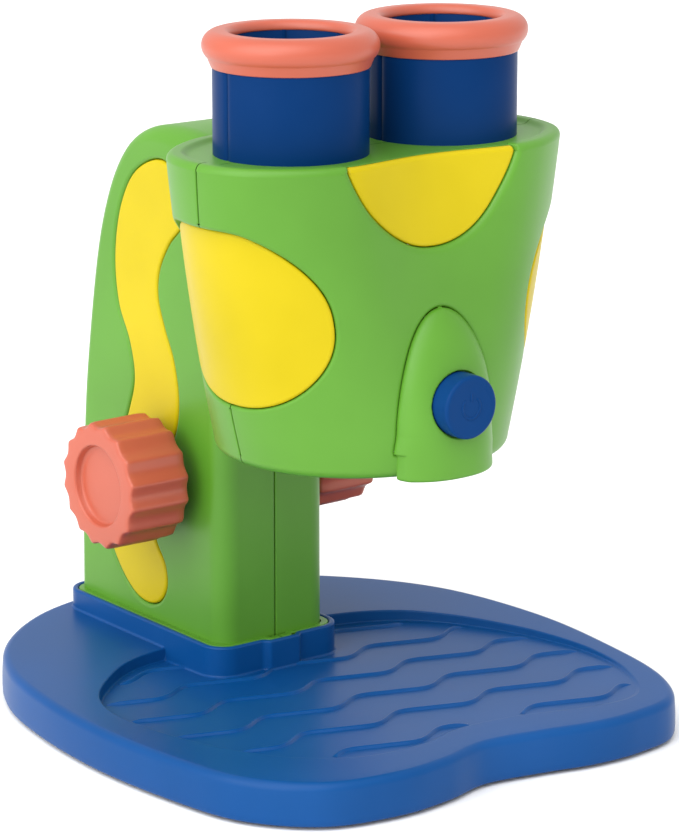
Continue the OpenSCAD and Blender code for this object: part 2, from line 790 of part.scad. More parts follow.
module pod_solid(inset) {
    hull() {
        front_extrude(pod_front_y + 4, pod_back_y) offset(delta = -inset) pod_outline();
        front_extrude(pod_front_y + inset, pod_back_y) offset(delta = -3.4 - inset) pod_outline();
    }
}

module lamp_pod() {
    color(green) works() difference() {
        pod_solid(0);
        pod_solid(pod_wall);
        head_body(0, 1, 3);
        translate([0, 0, button_z]) cylinder_y(button_d / 2 + 0.3, -far, pod_front_y + 3);
    }
}

module light_button() {
    r = button_d / 2;
    color(deep_blue) works() translate([0, 0, button_z]) rotate([90, 0, 0]) rotate_extrude($fn = 64) polygon(concat(
        [[0, 81.5], [2.5, 81.5], [2.5, 89.6], [r + 1, 89.6], [r + 1, 91.1], [r, 91.1], [r, -button_face_y - 2.6]],
        [for (a = [0:30:90]) [r - 1.9 + 1.2 * cos(a), -button_face_y - 1.2 + 1.2 * sin(a)]],
        [[0, -button_face_y]]));
}

module switch_board() {
    color([0.1, 0.4, 0.25]) works() translate([-8.5, -76, 101]) cube([17, 1.6, 25]);
}

module push_switch() {
    color([0.15, 0.15, 0.16]) works() translate([0, 0, button_z]) {
        translate([-3, -79.2, -3]) cube([6, 3.2, 6]);
    }
}

module lamp_holder() {
    color([0.9, 0.9, 0.9]) works() translate([0, -72, head_bottom + 0.3]) difference() {
        union() {
            cylinder(r = 4.1, h = 8, $fn = 48);
            translate([0, 0, head_wall]) cylinder(r = 5.2, h = 1.5, $fn = 48);
        }
        translate([0, 0, -1]) cylinder(r = 2.5, h = 10, $fn = 32);
    }
}

module lamp_led() {
    color([0.95, 0.95, 0.9]) works() translate([0, -72, head_bottom + 1.2]) {
        cylinder(r = 2.45, h = 6, $fn = 32);
        for (x = [-1.2, 1.2]) translate([x, 0, 6]) cylinder(r = 0.3, h = 8, $fn = 16);
    }
}

module head_lead() {
    color([0.75, 0.1, 0.1]) works() translate([0, 0, lead_high]) cylinder_y(lead_r, -68, lead_y + lead_r);
}

base_shell();
base_bottom_cover();
rubber_feet();
cover_screws();
foot_screws();
column_left_shell();
column_right_shell();
column_screws();
column_panel_left();
column_panel_right();
shaft_bush_left();
shaft_bush_right();
battery_tray();
batteries();
battery_contacts();
battery_lead();
battery_door();
battery_door_screw();
focus_shaft();
pinion();
knob_left();
knob_right();
carriage();
carriage_screws();
lamp_lead();
head_front_shell();
head_rear_shell();
head_screws();
badge_panel();
head_panel_left();
head_panel_right();
eyepiece_tubes_front();
eyepiece_tubes_rear();
eye_ring_left();
eye_ring_right();
eye_lens_left();
eye_lens_right();
objective_barrel();
objective_lens();
lamp_pod();
light_button();
switch_board();
push_switch();
lamp_holder();
lamp_led();
head_lead();
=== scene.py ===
"""Children's binocular microscope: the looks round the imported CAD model.

Lengths are millimetres until a mesh is made. The column and head are drawn about their own centre plane
and reference plane, as in the CAD, and works() moves them to their place on the base.
"""

import math

import bmesh
import bpy
import numpy as np
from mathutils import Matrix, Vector
from mathutils.geometry import delaunay_2d_cdt


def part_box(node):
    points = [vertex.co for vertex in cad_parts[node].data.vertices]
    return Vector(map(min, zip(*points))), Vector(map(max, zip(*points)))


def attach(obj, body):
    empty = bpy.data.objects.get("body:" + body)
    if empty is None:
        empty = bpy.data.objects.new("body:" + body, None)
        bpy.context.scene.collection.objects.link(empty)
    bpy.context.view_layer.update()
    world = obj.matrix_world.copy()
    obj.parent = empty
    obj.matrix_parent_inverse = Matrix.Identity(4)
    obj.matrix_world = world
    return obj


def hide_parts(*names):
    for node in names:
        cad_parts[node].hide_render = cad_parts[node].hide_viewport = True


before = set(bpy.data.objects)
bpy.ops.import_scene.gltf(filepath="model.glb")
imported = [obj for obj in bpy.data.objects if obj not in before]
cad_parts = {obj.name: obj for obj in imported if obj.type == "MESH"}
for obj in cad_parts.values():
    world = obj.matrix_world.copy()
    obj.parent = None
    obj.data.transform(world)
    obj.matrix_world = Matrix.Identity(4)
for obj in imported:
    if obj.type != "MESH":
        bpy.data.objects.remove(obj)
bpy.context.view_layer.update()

MM = 0.001
TURN = 2 * math.pi


# ---- places taken from the frame ----

def span(node):
    """A node's lowest and highest corners, in millimetres."""
    low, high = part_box(node)
    return np.array(low) / MM, np.array(high) / MM


shaft_low, shaft_high = span("focus_shaft")
lens_low, lens_high = span("eye_lens_right")
front_low, front_high = span("head_front_shell")

WORKS_X = (shaft_low[0] + shaft_high[0]) / 2
EYE_Y = -48.0
WORKS_Y = (lens_low[1] + lens_high[1]) / 2 - EYE_Y
EYE_X = (lens_low[0] + lens_high[0]) / 2 - WORKS_X
SHAFT_Y = (shaft_low[1] + shaft_high[1]) / 2 - WORKS_Y
SHAFT_Z = (shaft_low[2] + shaft_high[2]) / 2
HEAD_TOP = front_high[2]
HEAD_LOW = front_low[2]
BASE_TOP = span("column_left_shell")[0][2]
BASE_GAP = span("base_shell")[0][2]
TOP = span("eye_ring_right")[1][2]


def works(points):
    """Moves points from the column and head's own frame to the model's frame."""
    return np.asarray(points, float) + (WORKS_X, WORKS_Y, 0)


# ---- curves ----

def spline(a, b, c, d, steps):
    """Points on the smooth curve from each b to its c; a and d are the points before and after."""
    second = 2 * a - 5 * b + 4 * c - d
    third = 3 * b - a - 3 * c + d
    rows = [0.5 * (2 * b + (c - a) * t + second * t**2 + third * t**3) for t in np.arange(steps) / steps]
    return np.stack(rows, 1).reshape(-1, 2)


def smooth_loop(points, steps):
    """A smooth closed curve through all the points."""
    p = np.asarray(points, float)
    return spline(np.roll(p, 1, 0), p, np.roll(p, -1, 0), np.roll(p, -2, 0), steps)


def smooth_path(points, steps):
    """A smooth open curve through all the points."""
    p = np.asarray(points, float)
    q = np.vstack([p[:1], p, p[-1:]])
    return np.vstack([spline(q[:-3], q[1:-2], q[2:-1], q[3:], steps), p[-1:]])


def even(points, step, closed=True):
    """The same curve with points at even distances of about one step."""
    p = np.vstack([points, points[:1]]) if closed else np.asarray(points, float)
    far = np.concatenate([[0], np.cumsum(np.linalg.norm(np.diff(p, axis=0), axis=1))])
    count = max(8, int(round(far[-1] / step)))
    at = np.linspace(0, far[-1], count + 1)
    q = np.stack([np.interp(at, far, p[:, k]) for k in range(p.shape[1])], 1)
    return q[:-1] if closed else q


def area(loop):
    """The area inside a closed loop, negative if it runs clockwise."""
    x, y = loop[:, 0], loop[:, 1]
    return 0.5 * np.sum(x * np.roll(y, -1) - np.roll(x, -1) * y)


def ccw(loop):
    """The same closed loop, counterclockwise."""
    return loop if area(loop) > 0 else loop[::-1]


def normals(curve, closed=True):
    """Unit normals that point out of a counterclockwise curve."""
    if closed:
        t = np.roll(curve, -1, 0) - np.roll(curve, 1, 0)
    else:
        t = np.gradient(curve, axis=0)
    t = t / np.maximum(np.linalg.norm(t, axis=1), 1e-9)[:, None]
    return np.stack([t[:, 1], -t[:, 0]], 1)


def grown(loop, by):
    """A closed counterclockwise loop moved outward; a negative amount moves it inward."""
    return loop + normals(loop) * by


def rounded_rect(x0, x1, y0, y1, r, steps=12):
    """A counterclockwise rectangle with round corners."""
    out = []
    corners = ((x1 - r, y0 + r, -90), (x1 - r, y1 - r, 0), (x0 + r, y1 - r, 90), (x0 + r, y0 + r, 180))
    for cx, cy, a in corners:
        for k in range(steps + 1):
            t = math.radians(a + 90 * k / steps)
            out.append((cx + r * math.cos(t), cy + r * math.sin(t)))
    return np.array(out)


def circle(cx, cy, r, count):
    t = np.arange(count) * TURN / count
    return np.stack([cx + r * np.cos(t), cy + r * np.sin(t)], 1)


def ease(x, low, high):
    """0 below low, 1 above high and a smooth S between them."""
    t = np.clip((np.asarray(x, float) - low) / (high - low), 0, 1)
    return t * t * (3 - 2 * t)


# ---- meshes ----

def at_level(z):
    """A lift for Skin.fill that puts every point at one height."""
    return lambda points: works(np.column_stack([points, np.full(len(points), z)]))


class Skin:
    """Collects vertices and faces in millimetres, then makes one object of them."""

    def __init__(self):
        self.points, self.faces, self.count = [], [], 0

    def add(self, points, faces):
        """Takes points and faces in; the faces number the points from 0."""
        points = np.asarray(points, float)
        self.points.append(points)
        self.faces += [tuple(i + self.count for i in f) for f in faces]
        self.count += len(points)

    def loft(self, rings, closed=True, flip=False, open_at=None):
        """Joins rings of equally many points with four-sided faces; open_at(k, i) leaves one out."""
        n = len(rings[0])
        faces = []
        for k in range(len(rings) - 1):
            for i in range(n if closed else n - 1):
                if open_at and open_at(k, i):
                    continue
                j = (i + 1) % n
                face = (k * n + i, k * n + j, (k + 1) * n + j, (k + 1) * n + i)
                faces.append(face[::-1] if flip else face)
        self.add(np.vstack(rings), faces)

    def fill(self, outer, holes, step, lift, flip=False):
        """Fills a flat outline with triangles about one step wide and lifts each point into space."""
        points, faces = triangles(outer, holes, step)
        self.add(lift(points), [f[::-1] for f in faces] if flip else faces)

    def make(self, name, material, body, replaced, slot):
        """Makes the object, which rides on a body and stands in for the CAD nodes named in replaced."""
        mesh = bpy.data.meshes.new(name)
        verts = np.vstack(self.points) * MM
        mesh.from_pydata(verts.tolist(), [], self.faces)
        mesh.validate()
        weld(mesh)
        mesh.shade_smooth()
        obj = bpy.data.objects.new(name, mesh)
        bpy.context.scene.collection.objects.link(obj)
        mesh.materials.append(material)
        soften = obj.modifiers.new("even normals", "WEIGHTED_NORMAL")
        soften.keep_sharp = True
        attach(obj, body)
        nodes = replaced.split()
        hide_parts(*nodes)
        return obj


def weld(mesh):
    """Joins points that lie on each other."""
    work = bmesh.new()
    work.from_mesh(mesh)
    bmesh.ops.remove_doubles(work, verts=work.verts, dist=2e-6)
    work.to_mesh(mesh)
    work.free()


def inside(points, loop):
    """Which points lie inside a closed loop."""
    x, y = points[:, 0][:, None], points[:, 1][:, None]
    x0, y0 = loop[:, 0], loop[:, 1]
    x1, y1 = np.roll(x0, -1), np.roll(y0, -1)
    rise = np.where(y1 == y0, 1e-12, y1 - y0)
    cross = ((y0 > y) != (y1 > y)) & (x < (x1 - x0) * (y - y0) / rise + x0)
    return cross.sum(1) % 2 == 1


def within(points, loops):
    """Which points lie inside the first loop and outside the others."""
    keep = inside(points, loops[0])
    for hole in loops[1:]:
        keep &= ~inside(points, hole)
    return keep


def rows_of_points(loops, step):
    """Staggered rows of points inside a region, none close to its edges."""
    low, high = loops[0].min(0), loops[0].max(0)
    rows = []
    y = low[1] + step / 2
    while y < high[1]:
        x = np.arange(low[0] + step * (0.25 + 0.5 * (len(rows) % 2)), high[0], step)
        rows.append(np.stack([x, np.full(len(x), y)], 1))
        y += step * 0.866
    points = np.vstack(rows)
    points = points[within(points, loops)]
    for loop in loops:
        closest = np.full(len(points), 1e9)
        for chunk in np.array_split(loop, max(1, len(loop) // 64)):
            d = np.linalg.norm(points[:, None] - chunk[None], axis=2).min(1)
            closest = np.minimum(closest, d)
        points = points[closest > step * 0.6]
    return points


def triangles(outer, holes, step):
    """A triangle mesh of a flat region, with rows of points inside it."""
    loops = [np.asarray(outer, float)] + [np.asarray(h, float) for h in holes]
    verts, faces = [], []
    for loop in loops:
        start = len(verts)
        verts += [tuple(p) for p in loop]
        ids = list(range(start, start + len(loop)))
        faces.append(ids if (area(loop) > 0) == (loop is loops[0]) else ids[::-1])
    edges = [(f[i], f[(i + 1) % len(f)]) for f in faces for i in range(len(f))]
    verts += [tuple(p) for p in rows_of_points(loops, step)]
    got = delaunay_2d_cdt([Vector(v) for v in verts], edges, [], 0, 1e-5)
    out = np.array([tuple(v) for v in got[0]])
    middle = np.array([out[list(f)].mean(0) for f in got[2]])
    result = []
    for f, good in zip(got[2], within(middle, loops)):
        if not good:
            continue
        a, b, c = out[f[0]], out[f[1]], out[f[2]]
        turn = (b[0] - a[0]) * (c[1] - a[1]) - (b[1] - a[1]) * (c[0] - a[0])
        if abs(turn) > 1e-9:
            result.append(tuple(f) if turn > 0 else tuple(f[::-1]))
    return out, result


# Edge profiles: [distance from the border, height], from the flat face over the edge and down
SOFT_EDGE = [(1.5, 0), (1.15, -0.04), (0.8, -0.15), (0.5, -0.34), (0.28, -0.62), (0.16, -0.95), (0.12, -1.7)]
PANEL_EDGE = [(1.2, 0), (0.85, -0.03), (0.55, -0.12), (0.3, -0.3), (0.12, -0.55), (0.05, -0.9), (0.05, -1.7)]


# ---- materials ----

class Finish:
    """A node material and the few kinds of node that all the finishes share."""

    def __init__(self, name):
        self.material = bpy.data.materials.new(name)
        self.material.use_nodes = True
        self.nodes = self.material.node_tree.nodes
        self.links = self.material.node_tree.links
        self.shader = self.nodes["Principled BSDF"]

    def noise(self, scale, detail):
        """Noise that keeps its place on the object."""
        place = self.nodes.new("ShaderNodeTexCoord")
        noise = self.nodes.new("ShaderNodeTexNoise")
        noise.inputs["Scale"].default_value = scale
        noise.inputs["Detail"].default_value = detail
        self.links.new(place.outputs["Object"], noise.inputs["Vector"])
        return noise.outputs["Fac"]

    def mapped(self, value, start, end, low, high):
        """A value moved from the range between start and end to the one between low and high."""
        node = self.nodes.new("ShaderNodeMapRange")
        for socket, number in (("From Min", start), ("From Max", end), ("To Min", low), ("To Max", high)):
            node.inputs[socket].default_value = number
        self.links.new(value, node.inputs["Value"])
        return node.outputs["Result"]

    def tone(self, value, dark, light):
        """Sets the colour, which goes from dark to light with a value."""
        mix = self.nodes.new("ShaderNodeMix")
        mix.data_type = "RGBA"
        mix.inputs["A"].default_value = (*dark, 1)
        mix.inputs["B"].default_value = (*light, 1)
        self.links.new(value, mix.inputs["Factor"])
        self.links.new(mix.outputs["Result"], self.shader.inputs["Base Color"])

    def rough(self, value, low, high):
        self.links.new(self.mapped(value, 0, 1, low, high), self.shader.inputs["Roughness"])

    def bump(self, value, strength, distance):
        bump = self.nodes.new("ShaderNodeBump")
        bump.inputs["Strength"].default_value = strength
        bump.inputs["Distance"].default_value = distance
        self.links.new(value, bump.inputs["Height"])
        self.links.new(bump.outputs["Normal"], self.shader.inputs["Normal"])

    def fixed(self, **values):
        """Sets constant values on the shader, with _ for the spaces in their names."""
        for name, value in values.items():
            self.shader.inputs[name.replace("_", " ")].default_value = value


def plastic(name, colour, rough=0.36, vary=0.05, grain=0.02, shine=0.35):
    """Moulded plastic: a slight change of tone across the part, fine texture and uneven gloss."""
    finish = Finish(name)
    cloud = finish.noise(18, 3)
    dark = [c * (1 - 2 * vary) for c in colour]
    light = [min(1, c * (1 + vary) + 0.004) for c in colour]
    finish.tone(finish.mapped(cloud, 0.3, 0.7, 0, 1), dark, light)
    finish.rough(cloud, rough - 0.04, rough + 0.06)
    finish.bump(finish.noise(1500, 2), grain, 0.0002)
    finish.fixed(IOR=1.5, Specular_IOR_Level=shine)
    return finish.material


def metal(name, colour, rough):
    """Plated steel with fine streaks."""
    finish = Finish(name)
    streak = finish.noise(600, 4)
    finish.rough(streak, rough - 0.08, rough + 0.12)
    finish.tone(streak, [c * 0.8 for c in colour], colour)
    finish.fixed(Metallic=1)
    return finish.material


def clear(name):
    """Clear moulded lens."""
    finish = Finish(name)
    finish.rough(finish.noise(40, 2), 0.02, 0.07)
    finish.fixed(Base_Color=(0.9, 0.95, 1, 1), Transmission_Weight=1, IOR=1.49)
    return finish.material


GREEN = (0.088, 0.27, 0.018)
YELLOW = (0.52, 0.405, 0.001)
BASE_BLUE = (0.0003, 0.06, 0.23)
TUBE_BLUE = (0.0002, 0.027, 0.12)
BUTTON_BLUE = (0.0002, 0.036, 0.15)
CORAL = (0.48, 0.095, 0.05)

green = plastic("green plastic", GREEN, rough=0.36)
yellow = plastic("yellow plastic", YELLOW, rough=0.36, shine=0.15)
base_blue = plastic("base blue plastic", BASE_BLUE, rough=0.34, grain=0.05, shine=0.16)
tube_blue = plastic("tube blue plastic", TUBE_BLUE, rough=0.3, shine=0.03)
button_blue = plastic("button blue plastic", BUTTON_BLUE, rough=0.26, shine=0.05)
coral = plastic("coral plastic", CORAL, rough=0.34, grain=0.04, shine=0.5)
nylon = plastic("white nylon", (0.75, 0.75, 0.7), rough=0.4)
black = plastic("black plastic", (0.015, 0.015, 0.017), rough=0.45)
rubber = plastic("foot rubber", (0.02, 0.02, 0.022), rough=0.7, grain=0.1)
board = plastic("circuit board", (0.01, 0.14, 0.05), rough=0.3)
lead = plastic("lead insulation", (0.5, 0.02, 0.02), rough=0.4)
steel = metal("plated steel", (0.62, 0.63, 0.65), 0.3)
spring_metal = metal("contact metal", (0.75, 0.74, 0.7), 0.2)
cell = metal("cell case", (0.4, 0.42, 0.45), 0.35)
glass = clear("lens plastic")


# ---- head ----

# The head's plan: two arcs joined by straight runs. Their values at the top and how they change downward
SPREAD_TOP, SPREAD_LOSS, SPREAD_BULGE = 27.4, 25.4, 6
ARC_TOP, ARC_GAIN, ARC_BACK = 34.1, 7.3, 2.6
# The front's hollow waist: its depth, half its width and where it starts
WAIST_IN = 3.7
WAIST_HALF = 33.0
WAIST_LOW = 106.0
LIP_WIDTH = 5.2
DECK_DROP = 1.2
COLLAR_OUT = 2.2
COLLAR_LOW = 163.9
COLLAR_NEAR, COLLAR_FAR = 12, 31
COLLAR_START, COLLAR_FULL = 143, 161
PANEL_Z = 138.0
PANEL_HALF_Y = 31.2
PANEL_HALF_Z = 27.5
PANEL_BEND = 2 / 2.3
BADGE_HALF = 31.0
BADGE_HANG = 26.7
BADGE_LOW_X, BADGE_HIGH_X = -0.5, -1.9
SEAM_LOW_Y = -45.6
SEAM_SWEEP = 6.2


def head_section(z):
    """Half spread of the end arcs, their radius and their distance back, at a height."""
    u = (HEAD_TOP - z) / (HEAD_TOP - HEAD_LOW)
    spread = SPREAD_TOP - SPREAD_LOSS * u + SPREAD_BULGE * u * (1 - u)
    return np.maximum(spread, 0.5), ARC_TOP + ARC_GAIN * u, EYE_Y + ARC_BACK * u


def head_points(s, z, out, front):
    """Points on the head: s runs round it from the middle of its front or back, out is outward."""
    s, z = np.asarray(s, float), np.asarray(z, float)
    spread, r, mid = head_section(z)
    turn = np.maximum(np.abs(s) - spread, 0) / r
    r = r + out
    side = np.sign(s)
    x = np.where(np.abs(s) <= spread, s, side * (spread + r * np.sin(turn)))
    y = mid + (-1 if front else 1) * r * np.cos(turn)
    if front:
        fade = np.clip((z - WAIST_LOW) / (HEAD_TOP - WAIST_LOW), 0, 1) ** 1.1
        near = np.clip(np.abs(x) / WAIST_HALF, 0, 1)
        y = y + WAIST_IN * fade * np.cos(near * math.pi / 2) ** 2
    return np.stack([x, y, z + 0 * x], 1)


def collar(s, z, front):
    """How far the casing stands proud beside the top of a side panel."""
    y = head_points(s, z, 0, front)[:, 1]
    across = ease(-np.abs(y - EYE_Y), -COLLAR_FAR, -COLLAR_NEAR)
    return COLLAR_OUT * across * ease(z, COLLAR_START, COLLAR_FULL)


def seam_s(z, front):
    """The value of s where the front and rear casings meet, on a line that sweeps forward as it rises."""
    u = (z - HEAD_LOW) / (HEAD_TOP - HEAD_LOW)
    return s_from_side(SEAM_LOW_Y - SEAM_SWEEP * u**2, z, front)


def s_from_side(y, z, front):
    """The value of s of a point on the side with a given distance back."""
    spread, r, mid = head_section(z)
    back = (mid - y) / r if front else (y - mid) / r
    return spread + r * np.arccos(np.clip(back, -1, 1))


def s_from_front(x, z):
    """The value of s of a point on the front with a given x."""
    spread, r, _ = head_section(z)
    over = np.clip((np.abs(x) - spread) / r, 0, 1)
    return np.sign(x) * np.where(np.abs(x) <= spread, np.abs(x), spread + r * np.arcsin(over))


def panel_outline(count=220):
    """The side panel's outline as [distance back, height]: an oval with its top cut off by the collar."""
    t = np.linspace(0, TURN, count, endpoint=False)
    y = PANEL_HALF_Y * np.sign(np.cos(t)) * np.abs(np.cos(t)) ** PANEL_BEND
    z = PANEL_HALF_Z * np.sign(np.sin(t)) * np.abs(np.sin(t)) ** PANEL_BEND
    top = COLLAR_LOW - PANEL_Z
    soft = 1.2
    over = z - top
    rounded = -((soft - over) ** 2) / (4 * soft)
    z = top + np.where(over > soft, 0, np.where(over < -soft, over, rounded))
    return np.stack([EYE_Y + y, PANEL_Z + z], 1)


def badge_outline(count=140):
    """The front badge's lower edge from left to right as [x, height]."""
    t = np.linspace(math.pi, 0, count)
    x = BADGE_HALF * np.sign(np.cos(t)) * np.clip(1 - np.sin(t) ** 1.2, 0, 1) ** 0.47
    z = HEAD_TOP - BADGE_HANG * np.sin(t)
    middle = BADGE_LOW_X + (BADGE_HIGH_X - BADGE_LOW_X) * ease(z, 157, 172)
    corner_x, corner_z = BADGE_HALF + 0.7, HEAD_TOP + 1.5
    edge = np.vstack([(-corner_x, corner_z), np.stack([x, z], 1), (corner_x, corner_z)])
    edge[:, 0] += np.concatenate([middle[:1], middle, middle[-1:]])
    return edge


# The lamp pod: its heights, half width, offset to the left, set-in foot and how far it stands proud
POD_LOW = 90.9
POD_TOP = 139.0
POD_TIP = POD_TOP + 0.35
POD_MID = 104.0
POD_BEND = 112
POD_STEP = 98.7
POD_WIDE = 16.7
POD_MIDDLE = -0.4
POD_FOOT_IN = 0.9
POD_OUT = 6.8


def pod_half(z):
    """Half width of the lamp pod's outline at a height."""
    z = np.asarray(z, float)
    rise = np.clip((z - POD_MID) / (POD_TOP - POD_MID), 0, 1)
    flare = 0.7 * np.clip((POD_MID - z) / (POD_MID - POD_STEP), 0, 1)
    return POD_WIDE * np.sqrt(1 - rise**2) + flare


def pod_outline():
    """The lamp pod's outline as [x, height], counterclockwise from its lower left corner."""
    arch = np.linspace(0, math.pi, 160)
    top = np.stack([POD_WIDE * np.cos(arch), POD_MID + (POD_TOP - POD_MID) * np.sin(arch)], 1)
    z = np.linspace(POD_STEP, POD_MID - 0.8, 8)
    right = np.stack([pod_half(z), z], 1)
    return np.vstack([right, top, right[::-1] * (-1, 1)]) + (POD_MIDDLE, 0)


# Profiles as [inset, height]: over the rim, from the lip down to the deck, and round the lower edge
RIM_R = 2.1
LOW_R = 3.3
QUARTER = np.radians(np.arange(0, 91, 15))
OVER_RIM = [(RIM_R * (1 - math.cos(a)), -RIM_R * (1 - math.sin(a))) for a in QUARTER]
LIP_STEPS = [(-1.4, 0), (-0.9, -0.08), (-0.45, -0.3), (0, -0.62), (0.45, -0.92), (1.0, -1.12),
    (1.6, -DECK_DROP)]
LIP_TO_DECK = [(LIP_WIDTH + d, h) for d, h in LIP_STEPS]
UNDER_EDGE = [(LOW_R * (1 - math.cos(a)), LOW_R * (1 - math.sin(a))) for a in QUARTER]
SEAM_EDGE = [(0.7, 0), (0.4, -0.05), (0.22, -0.2), (0.15, -1.5)]
SEAM_IN = SEAM_EDGE[0][0]
SEAM_GAP = SEAM_EDGE[-1][0]
# The soft shoulder of the badge's recess, and how deep and how far inside its outline the badge lies
BADGE_EDGE = [(2.1, 0), (1.6, -0.05), (1.15, -0.16), (0.75, -0.36), (0.4, -0.64), (0.15, -0.95),
    (0.03, -1.3), (0, -3.2)]
BADGE_SINK = 0.95
BADGE_IN = 0.12
BADGE_LOW = 0.5
HOLE_IN = SOFT_EDGE[0][0]
OBJECTIVE_Y = -46.0
OBJECTIVE_R = 14.0
LAMP_Y = -72.0
LAMP_R = 4.2


def side_panel_loop():
    """The side panel's outline on the unrolled front skin of the right side."""
    outline = panel_outline()
    s = s_from_side(outline[:, 0], outline[:, 1], True)
    return ccw(even(np.stack([s, outline[:, 1]], 1), 1.0))


def badge_path():
    """The badge's lower edge on the unrolled skin, from its upper left corner to its upper right one."""
    outline = badge_outline()
    return even(np.stack([s_from_front(outline[:, 0], outline[:, 1]), outline[:, 1]], 1), 0.8, closed=False)


def moved(path, by):
    """An open path moved to its right-hand side."""
    return path + normals(path, closed=False) * by


def cut_level(path, high, count=130):
    """The part of a hanging path below a level, its points evenly spaced."""
    fine = even(path, 0.05, closed=False)
    return evened(fine[fine[:, 1] <= high + 1e-9], count)


def evened(path, count):
    """The same open path with a given number of points."""
    far = np.concatenate([[0], np.cumsum(np.linalg.norm(np.diff(path, axis=0), axis=1))])
    at = np.linspace(0, far[-1], count)
    return np.stack([np.interp(at, far, path[:, k]) for k in range(2)], 1)


def to_rear(points):
    """The same place on the side, unrolled from the back instead of the front."""
    y = head_points(points[:, 0], points[:, 1], 0, True)[:, 1]
    return np.stack([s_from_side(y, points[:, 1], False), points[:, 1]], 1)


def bite(front):
    """The rings of the side panel's opening that one casing holds, each from its lower to its upper end."""
    loop = side_panel_loop()
    if not front:
        loop = to_rear(loop)[::-1]
    rings = []
    for k, (d, _) in enumerate(SOFT_EDGE):
        fine = even(grown(loop, d), 0.05)
        keep = fine[:, 0] < seam_s(fine[:, 1], front) - (SEAM_IN if k == 0 else SEAM_GAP)
        first = next(i for i in range(len(keep)) if keep[i] and not keep[i - 1])
        order = [(first + i) % len(keep) for i in range(int(keep.sum()))]
        part = evened(fine[order], 110)
        rings.append(part if part[0, 1] < part[-1, 1] else part[::-1])
    return rings


def along_seam(heights, front, inset):
    """A line beside the side seam on the unrolled skin."""
    return np.stack([seam_s(heights, front) - inset, heights], 1)


def level_line(start, end, count, high):
    """A level line on the unrolled skin, without its two ends."""
    return np.stack([np.linspace(start, end, count)[1:-1], np.full(count - 2, high)], 1)


def head_casing(front):
    """The front or the rear half of the green head."""
    skin = Skin()
    low, high = HEAD_LOW + LOW_R, HEAD_TOP - RIM_R

    def lift(points, out=0.0, sink=None):
        s, z = points[:, 0], points[:, 1]
        level = collar(s, z, front) + out if sink is None else np.full(len(s), sink)
        return works(head_points(s, z, level, front))

    rings = bite(front)
    mirror = np.array([-1, 1])
    z = np.linspace(low, high, 60)
    lower = np.append(z[z < rings[0][0, 1] - 0.4], rings[0][0, 1])
    upper = np.insert(z[z > rings[0][-1, 1] + 0.4], 0, rings[0][-1, 1])
    right = np.vstack([
        along_seam(lower[:-1], front, SEAM_IN), rings[0], along_seam(upper[1:], front, SEAM_IN)])
    wide, narrow = right[-1, 0], right[0, 0]
    bottom = level_line(-narrow, narrow, 160, low)
    if front:
        path = cut_level(moved(badge_path(), BADGE_EDGE[0][0]), high)
        to_badge = level_line(wide, path[-1, 0], 60, high)
        top = np.vstack([to_badge, path[::-1], level_line(path[0, 0], -wide, 60, high)])
    else:
        top = level_line(wide, -wide, 180, high)
    outer = np.vstack([bottom, right, top, (right * mirror)[::-1]])
    holes = []
    if front:
        pod = pod_outline()
        pod = even(np.stack([s_from_front(pod[:, 0], pod[:, 1]), pod[:, 1]], 1), 0.9)
        holes.append(grown(pod, HOLE_IN))
        skin.loft([lift(grown(pod, d), h) for d, h in SOFT_EDGE])
        shoulder = [lift(cut_level(moved(badge_path(), d), high), h) for d, h in BADGE_EDGE]
        skin.loft(shoulder, closed=False)
    skin.fill(outer, holes, 1.7, lift, flip=not front)
    for side in (1, -1):
        hand = np.array([side, 1])
        inward = (side > 0) == front
        ends = [lift(r * hand, h) for r, (d, h) in zip(rings[:-1], SOFT_EDGE)]
        skin.loft(ends + [lift(rings[-1] * hand, sink=-1.7)], closed=False, flip=inward)
        for part in (lower, upper):
            edge = [lift(along_seam(part, front, d) * hand, h) for d, h in SEAM_EDGE]
            skin.loft(edge, closed=False, flip=inward)
    add_rim(skin, front)
    add_underside(skin, front)
    return skin


def badge_ends(level, by):
    """Where the badge's border, moved outward, crosses a level on the left and on the right."""
    path = cut_level(moved(badge_path(), by), level)
    return path[0, 0], path[-1, 0]


def rim_ring(front, inset, drop, count=320):
    """One ring over the rim; its outer face stands back where the badge covers it."""
    z = HEAD_TOP - RIM_R
    end = float(seam_s(z, front)) - SEAM_GAP
    s = np.linspace(end, -end, count)
    if front:
        left, right = badge_ends(z, 0)
        away, depths = np.array(BADGE_EDGE[::-1]).T
        depth = np.interp(np.maximum(s - right, left - s), away, -depths)
        inset = np.maximum(inset, depth)
    out = collar(s, np.full(count, z), front) - inset
    ring = head_points(s, np.full(count, z), out, front)
    ring[:, 2] = HEAD_TOP + drop
    if front:
        ring[:, 2] = np.minimum(ring[:, 2], HEAD_TOP - BADGE_LOW * depth / -BADGE_EDGE[-1][1])
    return ring


def add_rim(skin, front):
    """The round edge at the head's top, the lip behind it and the deck round the tubes."""
    rings = [rim_ring(front, inset, drop) for inset, drop in OVER_RIM + LIP_TO_DECK]
    skin.loft([works(r) for r in rings], closed=False, flip=front)
    inner = rings[-1]
    skin.fill(ccw(inner[:, :2]), [], 3.0, at_level(inner[0, 2]))


